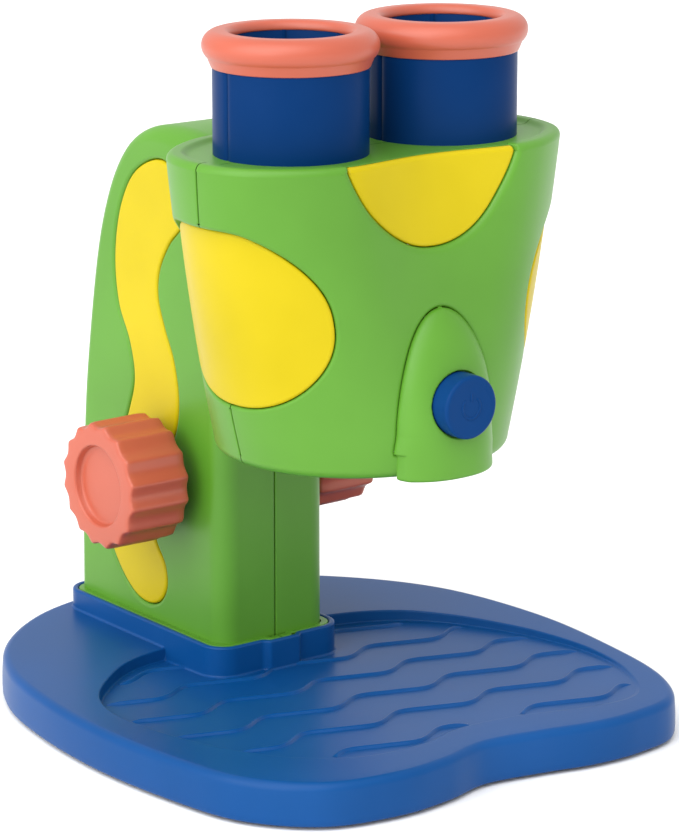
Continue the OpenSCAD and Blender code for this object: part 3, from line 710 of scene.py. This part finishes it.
def add_underside(skin, front):
    """The round lower edge and the flat bottom, with holes for the objective and the lamp."""
    z = HEAD_LOW + LOW_R
    end = float(seam_s(z, front)) - SEAM_GAP
    s = np.linspace(-end, end, 200)
    rings = []
    for inset, rise in UNDER_EDGE:
        ring = head_points(s, np.full(200, z), np.full(200, -inset), front)
        ring[:, 2] = HEAD_LOW + rise
        rings.append(ring)
    skin.loft([works(r) for r in rings], closed=False, flip=front)
    rim = rings[-1][:, :2]
    seam_y = rim[0, 1]
    half = math.asin(min(1, (OBJECTIVE_Y - seam_y) / OBJECTIVE_R))
    turn = np.linspace(-half, half + (-math.pi if front else math.pi), 50)
    bore = np.stack([OBJECTIVE_R * np.cos(turn), OBJECTIVE_Y + OBJECTIVE_R * np.sin(turn)], 1)
    holes = [circle(0, LAMP_Y, LAMP_R, 40)] if front else []
    skin.fill(ccw(np.vstack([rim, bore])), holes, 3.0, at_level(HEAD_LOW), flip=True)


def plate(loop, lift, step, side):
    """A thin panel with soft edges that follows the surface which lift describes."""
    skin = Skin()
    skin.loft([lift(grown(loop, -d), h) for d, h in PANEL_EDGE], flip=side > 0)
    skin.fill(grown(loop, -PANEL_EDGE[0][0]), [], step, lift, flip=side < 0)
    return skin


def side_panel(side):
    """One yellow side panel: its loop runs over the seam, on the front's unrolled skin."""
    def lift(points, out=0.0):
        return works(head_points(points[:, 0] * side, points[:, 1], np.full(len(points), out), True))

    return plate(side_panel_loop(), lift, 1.7, side)


def badge():
    """The sunk front panel: a face that hangs from the rim and a strip that turns over the rim."""
    skin = Skin()
    high = HEAD_TOP - RIM_R
    path = moved(badge_path(), -BADGE_IN)

    def lift(points, out=0.0):
        level = np.full(len(points), out - BADGE_SINK)
        return works(head_points(points[:, 0], points[:, 1], level, True))

    rings = [cut_level(moved(path, -d), high) for d, h in PANEL_EDGE]
    skin.loft([lift(r, h) for r, (d, h) in zip(rings, PANEL_EDGE)], closed=False, flip=True)
    inner = rings[0]
    top_s = np.linspace(inner[-1, 0], inner[0, 0], 120)
    top = np.stack([top_s, np.full(120, high)], 1)
    skin.fill(np.vstack([inner, top[1:-1]]), [], 1.7, lift)
    ends = np.array([badge_ends(high, -BADGE_IN - d) for d, h in PANEL_EDGE[1:]])
    heights = np.array([h for d, h in PANEL_EDGE[1:]])
    s = np.concatenate([ends[::-1, 1], top_s, ends[:, 0]])
    h = np.concatenate([heights[::-1], np.zeros(120), heights])
    strip = []
    for a in np.append(QUARTER, QUARTER[-1]):
        back = 0.25 if len(strip) == len(QUARTER) else 0
        out = h * math.cos(a) - (RIM_R - BADGE_LOW) * (1 - math.cos(a)) - back - BADGE_SINK
        ring = head_points(s, np.full(len(s), high), out, True)
        ring[:, 2] = high + (RIM_R - BADGE_LOW + h) * math.sin(a) - 4 * back
        strip.append(works(ring))
    skin.loft(strip, closed=False, flip=True)
    return skin


# ---- lamp pod and button ----

BUTTON_Z = 112.3
BUTTON_R = 9.3
BUTTON_FACE = 96.9
WELL_R = 9.55
WELL_DEEP = 1.6


def head_front_y(x, z):
    """How far back the head's front is at a place."""
    z = np.clip(z, HEAD_LOW + LOW_R, None)
    return head_points(s_from_front(x, z), z, 0, True)[:, 1]


def pod_row(z, shrink=0.0, count=150):
    """A row across the pod: a round arch that starts and ends under the head's skin."""
    width = float(pod_half(min(z, POD_TOP - 0.02))) + 0.15 - shrink
    if z > POD_BEND:
        up = min(1, (z - POD_BEND) / (POD_TIP - POD_BEND))
        out = POD_OUT * (1 - up**2) ** 0.55 - 0.6 * ease(z, POD_TOP, POD_TIP)
    else:
        out = POD_OUT + 0.6 * (POD_BEND - z) / 21
    turn = np.linspace(math.pi, 0, count)
    x = width * np.cos(turn)
    behind = 0.5 - 0.4 * ease(-z, -97, -92)
    if z < POD_STEP:
        x -= POD_FOOT_IN * np.sign(x) * ease(np.abs(x) / width, 0.88, 1)
    x += POD_MIDDLE
    y = head_front_y(x, np.full(count, z)) + behind - (out - shrink + behind) * np.sin(turn)
    far = np.hypot(x, z - BUTTON_Z)
    y = y + WELL_DEEP * ease(-far, -WELL_R - 0.2, -WELL_R + 0.15)
    return np.stack([x, y, np.full(count, z)], 1)


def lamp_pod():
    """The thumb-shaped cover with the button's well, and a step at its foot."""
    skin = Skin()
    soft = 1.0
    rows = []
    for a in np.radians(np.arange(0, 90, 15)):
        row = pod_row(POD_LOW + soft * (1 - math.sin(a)), soft * (1 - math.cos(a)))
        rows.insert(0, row)
    rows += [pod_row(z) for z in np.arange(POD_LOW + soft + 0.4, POD_STEP - 0.1, 0.45)]
    rows += [pod_row(z) for z in (POD_STEP - 0.05, POD_STEP + 0.05)]
    rows += [pod_row(z) for z in np.arange(POD_STEP + 0.4, POD_TOP - 0.4, 0.3)]
    rows += [pod_row(z) for z in np.linspace(POD_TOP - 0.3, POD_TIP, 10)]
    skin.loft([works(r) for r in rows], closed=False)
    low = rows[0]
    skin.fill(ccw(even(low[:, :2], 0.8)), [], 2.0, at_level(low[0, 2]), flip=True)
    return skin


def lathe(skin, profile, centre, axis, count=128, flip=False):
    """Turns a profile of [radius, distance along the axis] round an axis."""
    t = np.arange(count) * TURN / count
    rings = []
    for r, along in profile:
        a, b = r * np.cos(t), r * np.sin(t)
        flat = np.full(count, along)
        parts = {"y": (b, flat, a), "z": (a, b, flat)}[axis]
        rings.append(np.stack(parts, 1) + centre)
    skin.loft([works(r) for r in rings], flip=flip)


def arc(cx, cy, r, a0, a1, steps=8):
    """Points of a circular arc, angles in degrees."""
    turns = [math.radians(a) for a in np.linspace(a0, a1, steps)]
    return [(cx + r * math.cos(a), cy + r * math.sin(a)) for a in turns]


def from_end(count):
    """For each of a row of points, how many lie between it and the nearer end."""
    return np.minimum(np.arange(count), np.arange(count)[::-1])


def tube(skin, path, r, count=12):
    """A round bead along a path, with tapering ends."""
    path = np.asarray(path, float)
    tangent = np.gradient(path, axis=0)
    tangent /= np.linalg.norm(tangent, axis=1)[:, None]
    side = np.cross(tangent, (0, 1.0, 0))
    side /= np.linalg.norm(side, axis=1)[:, None]
    high = np.cross(side, tangent)
    size = r * np.sqrt(np.clip(from_end(len(path)) / 3, 0.02, 1))
    t = np.arange(count) * TURN / count
    rings = []
    for k in range(len(path)):
        rings.append(path[k] + size[k] * (np.cos(t)[:, None] * side[k] + np.sin(t)[:, None] * high[k]))
    skin.loft([works(q) for q in rings])


def light_button():
    """The push button with its raised power symbol."""
    skin = Skin()
    face = BUTTON_FACE
    profile = [(BUTTON_R, 88.5), (BUTTON_R, 93.0)] + arc(BUTTON_R - 1, face - 1, 1, 0, 90, 8)
    profile += [(7.2, face), (6.9, face - 0.12), (3, face - 0.25), (0.01, face - 0.25)]
    lathe(skin, [(r, -a) for r, a in profile], (0, 0, BUTTON_Z), "y", flip=True)
    level = -(face - 0.34)
    ring = [(x, level, z) for x, z in arc(0, BUTTON_Z, 3.2, 125, 415, 60)]
    tube(skin, ring, 0.4)
    tube(skin, [(0, level, BUTTON_Z + z) for z in np.linspace(1.4, 4.5, 12)], 0.4)
    return skin


# ---- eyepieces ----

TUBE_R = 22.4
TUBE_IN = 17.2
TUBE_END = TOP - 2.4
RING_R = 25.4
RING_ROUND = 4.4
SEAM_TURN = 0.006


def tube_half(front):
    """Both eyepiece tubes, the front or the rear half, with soft edges at the seam."""
    skin = Skin()
    profile = [(TUBE_IN - 0.4, 176), (TUBE_IN - 0.4, 199.5), (TUBE_IN, 200.1), (TUBE_IN, TUBE_END),
        (TUBE_R - 2.2, TUBE_END), (TUBE_R, TOP - 8.2), (TUBE_R, 176)]
    count = 90
    start = math.pi if front else 0
    t = start + np.linspace(SEAM_TURN, math.pi - SEAM_TURN, count)
    edge = from_end(count)
    dip = np.where(edge == 0, 0.7, np.where(edge == 1, 0.12, 0))
    t[1], t[-2] = t[0] + 2 * SEAM_TURN, t[-1] - 2 * SEAM_TURN
    for side in (-1, 1):
        rings = []
        for k in range(count):
            rows = []
            for r, z in profile:
                q = r - dip[k] if r > TUBE_IN + 1 else r
                rows.append((side * EYE_X + q * math.cos(t[k]), EYE_Y + q * math.sin(t[k]), z))
            rings.append(works(rows))
        skin.loft(rings, closed=False)
        if not front:
            add_key(skin, side)
    return skin


def add_key(skin, side):
    """The thin upright rib on the inside of a tube's rear half."""
    rings = []
    for turn, r in [(-1.9, TUBE_IN), (-1.7, TUBE_IN - 0.35), (1.7, TUBE_IN - 0.35), (1.9, TUBE_IN)]:
        a = math.radians(60 + turn)
        place = (side * EYE_X + r * math.cos(a), EYE_Y + r * math.sin(a))
        rings.append(works([(*place, TOP - 2.6), (*place, 200.3)]))
    skin.loft(rings, closed=False)


def eye_ring(side):
    """The round ring on a tube's end, with a short skirt."""
    skin = Skin()
    profile = [(19.0, TOP - 2.9), (17.3, TOP - 2.8), (17.05, TOP - 2.6)]
    profile += arc(19.3, TOP - 2.3, 2.3, 180, 95, 8)
    profile += arc(RING_R - RING_ROUND, TOP - RING_ROUND, RING_ROUND, 85, -50, 16)
    profile += [(22.85, TOP - 10.2), (22.7, TOP - 10.45), (22.4, TOP - 10.5), (22.2, TOP - 9)]
    lathe(skin, profile, (side * EYE_X, EYE_Y, 0), "z", flip=True)
    return skin


# ---- focus knobs ----

FLUTES = 16
FLUTE_DEEP = 1.3
KNOB_IN = 25.7
# From the inner face to the sunk middle of the outer: [distance outward, radius, share of the flutes' depth]
KNOB_OUTLINE = [(0, 15.5, 0), (0, 17.6, 0.5), (0.4, 18.8, 0.9), (1.2, 19.6, 1), (4, 19.9, 1),
    (19.6, 19.75, 1), (20.9, 19.55, 1), (21.35, 19.25, 0.97), (21.6, 18.7, 0.9), (21.6, 16.9, 0.4),
    (21.6, 15.5, 0.1), (21.6, 13.2, 0), (21.45, 12.8, 0), (20.9, 12.5, 0), (19.7, 12.3, 0),
    (19.3, 11.8, 0), (19.2, 10.9, 0), (19.2, 0.02, 0)]


def focus_knob(side):
    """A knob with round flutes between its ridges and a dished face."""
    skin = Skin()
    steps = 14
    count = FLUTES * steps
    t = np.arange(count) * TURN / count
    wave = np.abs(np.cos(FLUTES * t / 2))
    soft = 0.2
    wave = (np.hypot(wave, soft) - soft) / (math.hypot(1, soft) - soft)
    rings = []
    for along, r, cut in KNOB_OUTLINE:
        rr = r - FLUTE_DEEP * cut * wave
        x = np.full(count, side * (KNOB_IN + along))
        rings.append(works(np.stack([x, SHAFT_Y + rr * np.cos(t), SHAFT_Z + rr * np.sin(t)], 1)))
    skin.loft(rings, flip=side < 0)
    return skin


# ---- column ----

COLUMN_HALF = 20.5
COLUMN_ROUND = 6.5
# The column's profile from front to back and its winding panel, as [distance back, height]
CREST = [(-2, 150), (-1.6, 164), (2.5, 173), (11, 177.2), (24, 178.4), (36, 177), (46, 172), (54, 163.5),
    (60.5, 151.5), (66, 135), (71, 110), (75, 82), (77.5, 45)]
COLUMN_FRONT = -2.0
COLUMN_BACK = 78.0
MIDDLE_Y = 30
RIBBON = [(28, 167.8), (20.5, 165), (16.2, 158.5), (17.5, 149.5), (24.5, 142.5), (30, 133.5), (31, 124.5),
    (27.5, 115), (23, 106), (20.6, 95), (21.8, 85), (26.5, 76), (33, 66.5), (36.8, 56.5), (33.8, 46),
    (29, 39), (28.2, 32), (32, 26.4), (38.5, 24.3), (46, 26), (53.5, 32), (59.3, 40.5), (61.5, 51),
    (58.8, 63.5), (53, 75), (47.3, 87), (44.5, 97), (47, 108), (52.3, 118), (54.4, 129.5), (53.6, 141),
    (50.2, 152), (44.2, 161), (36, 166.2)]
# The openings behind and in front: [half width, lowest, highest]
DOOR = (13.7, 29.8, 98.2)
SLOT = (9.3, 113.0, 163.0)
OPENING_DEEP = 2.4


def column_path():
    """The column's side profile, from the foot of its back over the top to the foot of its front."""
    crest = smooth_path(CREST, 8)[::-1]
    path = np.vstack([[(COLUMN_BACK, BASE_TOP)], crest, [(COLUMN_FRONT, BASE_TOP)]])
    path = even(path, 1.2, closed=False)
    for level in DOOR[1:]:
        path = with_level(path, level, True)
    for level in SLOT[1:]:
        path = with_level(path, level, False)
    return path


def with_level(path, level, behind):
    """The path with a point added where its back or its front crosses a height."""
    for k in range(len(path) - 1):
        a, b = path[k], path[k + 1]
        if (a[0] > MIDDLE_Y) == behind and (a[1] - level) * (b[1] - level) < 0:
            t = (level - a[1]) / (b[1] - a[1])
            return np.vstack([path[:k + 1], [a + (b - a) * t], path[k + 1:]])
    return path


def ribbon_loop():
    """The outline of the winding panel as [distance back, height]."""
    return ccw(even(smooth_loop(RIBBON, 10), 1.0))


def on_side(side):
    """A lift for Skin.fill that puts points on the column's side, sunk or raised by an amount."""
    return lambda points, out=0.0: works(
        np.column_stack([np.full(len(points), side * (COLUMN_HALF + out)), points]))


def column_half(side):
    """One half of the column: the band round its edge, the round corner, the side face and its opening."""
    skin = Skin()
    path = column_path()
    out = normals(path, closed=False)
    out[0], out[-1] = (1, 0), (-1, 0)
    r = COLUMN_ROUND - 2.5 * ease(path[:, 0], 15, 50)
    seam = [(0.15, 1.6), (0.2, 0.25), (0.45, 0.06), (0.8, 0)]
    places = [(np.full(len(path), x), depth) for x, depth in seam]
    places += [(np.full(len(path), x), 0) for x in [2, 4, 6, 8, SLOT[0], 11, 12.4, DOOR[0]]]
    for a in np.radians(np.arange(0, 91, 9)):
        places.append((COLUMN_HALF - r * (1 - math.sin(a)), (r * (1 - math.cos(a)))[:, None]))
    rings = []
    for x, depth in places:
        rings.append(works(np.column_stack([side * x, path - out * depth])))
    middle = (path[1:] + path[:-1]) / 2

    def open_at(k, i):
        half, low, high = DOOR if middle[i, 0] > MIDDLE_Y else SLOT
        return places[k + 1][0][0] <= half and low < middle[i, 1] < high

    skin.loft(rings, closed=False, flip=side < 0, open_at=open_at)
    for behind, (half, low, high) in ((True, DOOR), (False, SLOT)):
        near = np.abs(path[:, 1] - (low + high) / 2) <= (high - low) / 2 + 1e-6
        near &= (path[:, 0] > MIDDLE_Y) == behind
        part, turn = path[near], out[near]
        edge = np.column_stack([np.full(len(part), half), part])
        edge = np.vstack([(0.15, *part[0]), edge, (0.15, *part[-1])])
        lean = np.vstack([turn[:1], turn, turn[-1:]])
        inner = edge.copy()
        inner[:, 1:] -= lean * OPENING_DEEP
        skin.loft([works(e * (side, 1, 1)) for e in (edge, inner)], closed=False, flip=side > 0)
    face = path - out * r[:, None]
    lift = on_side(side)
    ribbon = ribbon_loop()
    outline = np.vstack([face, level_line(face[-1, 0], face[0, 0], 40, BASE_TOP)])
    skin.fill(outline, [grown(ribbon, HOLE_IN)], 4.0, lift, flip=side < 0)
    skin.loft([lift(grown(ribbon, d), h) for d, h in SOFT_EDGE], flip=side < 0)
    add_foot(skin, side)
    return skin


def add_foot(skin, side):
    """The flange that stands in the socket of the base."""
    low, high = BASE_TOP, BASE_TOP + RIM_HEIGHT - 0.15
    loop = bumped(even(rounded_rect(-22.5, 22.5, -3.4, 79.4, 6), 0.6), 5.6, 1.8)
    keep = loop[:, 0] * side >= 0
    first = next(k for k in range(len(keep)) if keep[k] and not keep[k - 1])
    half = np.array([loop[(first + k) % len(loop)] for k in range(int(keep.sum()))])
    half = np.vstack([[(side * 0.15, half[0, 1])], half, [(side * 0.15, half[-1, 1])]])
    out = normals(half, closed=False)
    out[0], out[1] = out[1], out[1]
    soft = 0.4
    corner = [(soft * (1 - math.cos(a)), high - soft * (1 - math.sin(a))) for a in QUARTER]
    rings = []
    for inset, z in [(0, low - 1)] + corner + [(2.2, high)]:
        rings.append(works(np.column_stack([half - out * inset, np.full(len(half), z)])))
    skin.loft(rings, closed=False)


def ribbon_panel(side):
    """The winding yellow panel in one side of the column."""
    return plate(ribbon_loop(), on_side(side), 4.0, side)


# ---- base ----

# The outlines of the base and of its tray, seen from above
BASE_LOOP = [(-88.2, -14), (-85.2, -48), (-79, -73), (-63, -91), (-41, -97), (-22, -96), (-5, -92),
    (14.5, -95), (31, -98.8), (48, -99.3), (66, -94.5), (78.5, -76), (85, -47), (88.2, -8), (81.5, 34),
    (61, 66.5), (32, 89), (-2, 99.3), (-36, 94), (-63, 75.5), (-79, 50), (-86, 20)]
TRAY_LOOP = [(-25, 36.5), (-45, 32.8), (-60, 22.5), (-71, 10.5), (-76, -4), (-75, -24), (-69, -46),
    (-58, -66), (-40, -79), (-20, -81), (-2, -77), (18, -79), (40, -86), (59, -85.5), (71.5, -67),
    (76.5, -45), (75, -23), (69.8, -5), (62.5, 10.7), (52, 23.5), (35, 31.8), (12, 35)]
TRAY_BACK = 36.5
TRAY_FRONT = -86.0
TRAY_DEEP = 4.0
TRAY_SHALLOW = 0.35
RIM_HEIGHT = 6.5


def tray_depth(y):
    """Depth of the tray floor below the plate, deepest at the back."""
    t = np.clip((y - TRAY_FRONT) / (TRAY_BACK - TRAY_FRONT), 0, 1)
    return TRAY_SHALLOW + (TRAY_DEEP - TRAY_SHALLOW) * t


def base_shell():
    """The base: its round edge, its plate, the sunken tray, the socket rim and the ridges."""
    skin = Skin()
    outline = ccw(even(smooth_loop(BASE_LOOP, 10), 1.6))
    tray = ccw(even(smooth_loop(TRAY_LOOP, 10), 1.2))

    def level(points, z):
        return np.column_stack([points, np.broadcast_to(z, (len(points),))])

    r = 2.6
    over = [(r * (1 - math.cos(a)), BASE_TOP - r * (1 - math.sin(a))) for a in QUARTER][::-1]
    under = [(0.7, BASE_GAP), (2.6, BASE_GAP), (2.6, 4)]
    sides = over + [(-0.25, 8), (-0.3, 4), (-0.2, 2.0), (0.1, 1.3)] + under
    skin.loft([level(grown(outline, -d), z) for d, z in sides], flip=True)
    plate = grown(outline, -over[0][0])
    lip = 0.7
    skin.fill(plate, [grown(tray, lip)], 4.0, lambda p: level(p, BASE_TOP))
    deep = tray_depth(tray[:, 1])
    wall = []
    for d, part in [(lip, 0), (0.4, -0.04), (0.2, -0.12), (0.07, -0.27), (0, -0.5)]:
        wall.append(level(grown(tray, d), BASE_TOP + np.maximum(part, -0.5 * deep)))
    for d, up in [(-0.08, 0.5), (-0.22, 0.2), (-0.5, 0.04), (-0.9, 0)]:
        wall.append(level(grown(tray, d), BASE_TOP - deep + np.minimum(up, 0.45 * deep)))
    skin.loft(wall)
    skin.fill(grown(tray, -0.9), [], 3.0, lambda p: level(p, BASE_TOP - tray_depth(p[:, 1])))
    add_socket_rim(skin, tray)
    add_ridges(skin, tray)
    return skin


def bumped(loop, half, out):
    """The loop with the bump in the middle of its front, where the column's seam comes down."""
    loop = loop.copy()
    t = np.abs(loop[:, 0])
    front = (loop[:, 1] < 0) & (t < half)
    loop[front, 1] -= out * (1 - ease(t[front], half - 2.2, half))
    return loop


def add_socket_rim(skin, tray):
    """The rim round the column's foot; its lower edge follows the tray's floor."""
    loop = bumped(even(rounded_rect(-24.5, 24.5, -5.4, 81.4, 8), 0.6), 7.5, 1.9)
    top = BASE_TOP + RIM_HEIGHT
    foot = loop + (WORKS_X, WORKS_Y)
    floor = BASE_TOP - np.where(inside(foot, tray), tray_depth(foot[:, 1]), 0)
    rings = []
    for d, up in [(0.8, -0.3), (0.55, 0.05), (0.25, 0.18), (0.08, 0.4), (0, 0.8)]:
        rings.append(works(np.column_stack([grown(loop, d), floor + up])))
    r = 0.7
    wall = [(-r * (1 - math.cos(a)), top - r * (1 - math.sin(a))) for a in QUARTER]
    wall += [(-1.1 - r * math.sin(a), top - r * (1 - math.cos(a))) for a in QUARTER]
    wall.append((-1.8, BASE_TOP - 1))
    rings += [works(np.column_stack([grown(loop, d), np.full(len(loop), z)])) for d, z in wall]
    skin.loft(rings)


RIDGES = 6
RIDGE_FIRST = 24.5
RIDGE_PITCH = 20.1
RIDGE_SLOPE = -0.05
RIDGE_WAVE = 34.0
RIDGE_SWING = 2.7
# A ridge's section: [distance across, height above the tray's floor]
RIDGE_SECTION = [(-1.25, -0.2), (-0.9, 0.06), (-0.6, 0.5), (-0.25, 0.85), (0.15, 0.88), (0.55, 0.55),
    (0.9, 0.08), (1.25, -0.2)]


def add_ridges(skin, tray):
    """Wavy ridges across the tray floor, each cut off where it meets the tray's edge."""
    edge = grown(tray, -1.6)
    for k in range(RIDGES):
        x = np.arange(-78, 79, 0.8)
        phase = TURN * (x + 12.5) / RIDGE_WAVE
        wave = np.sin(phase) + 0.18 * np.sin(2 * phase)
        y = RIDGE_FIRST - RIDGE_PITCH * k + RIDGE_SLOPE * x + RIDGE_SWING * wave
        keep = inside(np.stack([x, y], 1), edge)
        runs = np.split(np.arange(len(x)), np.where(np.diff(keep.astype(int)) != 0)[0] + 1)
        for run in runs:
            if keep[run[0]] and len(run) > 12:
                ridge(skin, np.stack([x[run], y[run]], 1))


def ridge(skin, path):
    """One ridge along a path, low at both ends."""
    out = normals(path, closed=False)
    ends = np.sqrt(np.clip(from_end(len(path)) / 5, 0.01, 1))
    rows = []
    for across, up in RIDGE_SECTION:
        p = path + out * across
        rows.append(np.column_stack([p, BASE_TOP - tray_depth(p[:, 1]) + up * np.where(up > 0, ends, 1)]))
    skin.loft(rows, closed=False, flip=True)


# ---- assembling ----

def dress(node, material):
    """Gives a CAD node that stays in view its finish."""
    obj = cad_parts[node]
    obj = obj if hasattr(obj, "data") else bpy.data.objects[obj]
    obj.data.materials.clear()
    obj.data.materials.append(material)


def build():
    """Makes every rebuilt piece."""
    head_casing(True).make("head_front", green, "head", "head_front_shell", "column_green")
    head_casing(False).make("head_rear", green, "head", "head_rear_shell", "column_green")
    for side, name in ((1, "right"), (-1, "left")):
        side_panel(side).make("side_panel_" + name, yellow, "head", "head_panel_" + name, "panel_yellow")
    badge().make("front_badge", yellow, "head", "badge_panel", "panel_yellow")
    lamp_pod().make("pod_cover", green, "head", "lamp_pod", "column_green")
    light_button().make("power_button", button_blue, "button", "light_button", "button_blue")
    tube_half(True).make("tubes_front", tube_blue, "head", "eyepiece_tubes_front", "tube_blue")
    tube_half(False).make("tubes_rear", tube_blue, "head", "eyepiece_tubes_rear", "tube_blue")
    for side, name in ((-1, "left"), (1, "right")):
        eye_ring(side).make("ring_" + name, coral, "head", "eye_ring_" + name, "ring_coral")
        focus_knob(side).make("fluted_knob_" + name, coral, "focus_drive", "knob_" + name, "ring_coral")
        column_half(side).make("column_" + name, green, "stand", "column_" + name + "_shell", "column_green")
        ribbon_panel(side).make("ribbon_" + name, yellow, "stand", "column_panel_" + name, "panel_yellow")
    base_shell().make("base", base_blue, "stand", "base_shell", "base_blue")


KEPT = [
    (base_blue, "base_bottom_cover"), (rubber, "rubber_feet"), (cell, "batteries"),
    (green, "battery_door carriage"),
    (spring_metal, "battery_contacts"), (board, "switch_board"), (lead, "battery_lead lamp_lead head_lead"),
    (black, "battery_tray objective_barrel push_switch"), (nylon, "shaft_bush_left shaft_bush_right"),
    (nylon, "pinion lamp_holder"), (glass, "eye_lens_left eye_lens_right objective_lens lamp_led"),
    (steel, "cover_screws foot_screws column_screws battery_door_screw"),
    (steel, "focus_shaft carriage_screws head_screws")]


def stage():
    """A plain pale floor, a white room and soft lights."""
    mesh = bpy.data.meshes.new("floor")
    half = 6.0
    corners = [(-half, -half, 0), (half, -half, 0), (half, half, 0), (-half, half, 0)]
    mesh.from_pydata(corners, [], [(0, 1, 2, 3)])
    floor = bpy.data.objects.new("floor", mesh)
    bpy.context.scene.collection.objects.link(floor)
    finish = Finish("pale floor")
    finish.fixed(Base_Color=(0.93, 0.93, 0.93, 1), Roughness=0.9)
    mesh.materials.append(finish.material)
    world = bpy.data.worlds.new("white room")
    world.use_nodes = True
    background = world.node_tree.nodes["Background"]
    background.inputs["Color"].default_value = (1, 1, 1, 1)
    background.inputs["Strength"].default_value = 0.95
    bpy.context.scene.world = world
    add_light("key", "SUN", 1.85, (0.72, 0.35, -0.95)).data.angle = math.radians(80)
    add_light("left", "SUN", 1.4, (0.95, 0.05, -0.3)).data.angle = math.radians(70)
    place = Vector((-0.45, -0.35, 0.9))
    top = add_light("top left", "AREA", 0.8, Vector((0, 0, 0.1)) - place)
    top.data.shape = "SQUARE"
    top.data.size = 0.4
    top.location = place


def add_light(name, kind, power, direction):
    """A light that shines along a direction."""
    data = bpy.data.lights.new(name, kind)
    data.energy = power
    obj = bpy.data.objects.new(name, data)
    bpy.context.scene.collection.objects.link(obj)
    obj.rotation_euler = Vector(direction).to_track_quat("-Z", "Y").to_euler()
    return obj


# The camera, placed about the column's planes in millimetres, with its turn and tilt in degrees
AZIMUTH = -37.31
ELEVATION = 14.51
CAMERA_AT = (-612.9, -839.1, 358.0)
LENS = 150.15


def camera():
    data = bpy.data.cameras.new("camera")
    data.lens = LENS
    data.sensor_width = 36
    data.clip_start, data.clip_end = 0.05, 20
    cam = bpy.data.objects.new("camera", data)
    bpy.context.scene.collection.objects.link(cam)
    a, e = math.radians(AZIMUTH), math.radians(ELEVATION)
    back = Vector((math.sin(a) * math.cos(e), -math.cos(a) * math.cos(e), math.sin(e)))
    cam.location = works(CAMERA_AT) * MM
    cam.rotation_mode = "QUATERNION"
    cam.rotation_quaternion = (-back).to_track_quat("-Z", "Y")
    bpy.context.scene.camera = cam


bpy.context.scene.view_settings.view_transform = "Standard"
camera()
stage()
build()
for material, names in KEPT:
    for name in names.split():
        dress(name, material)
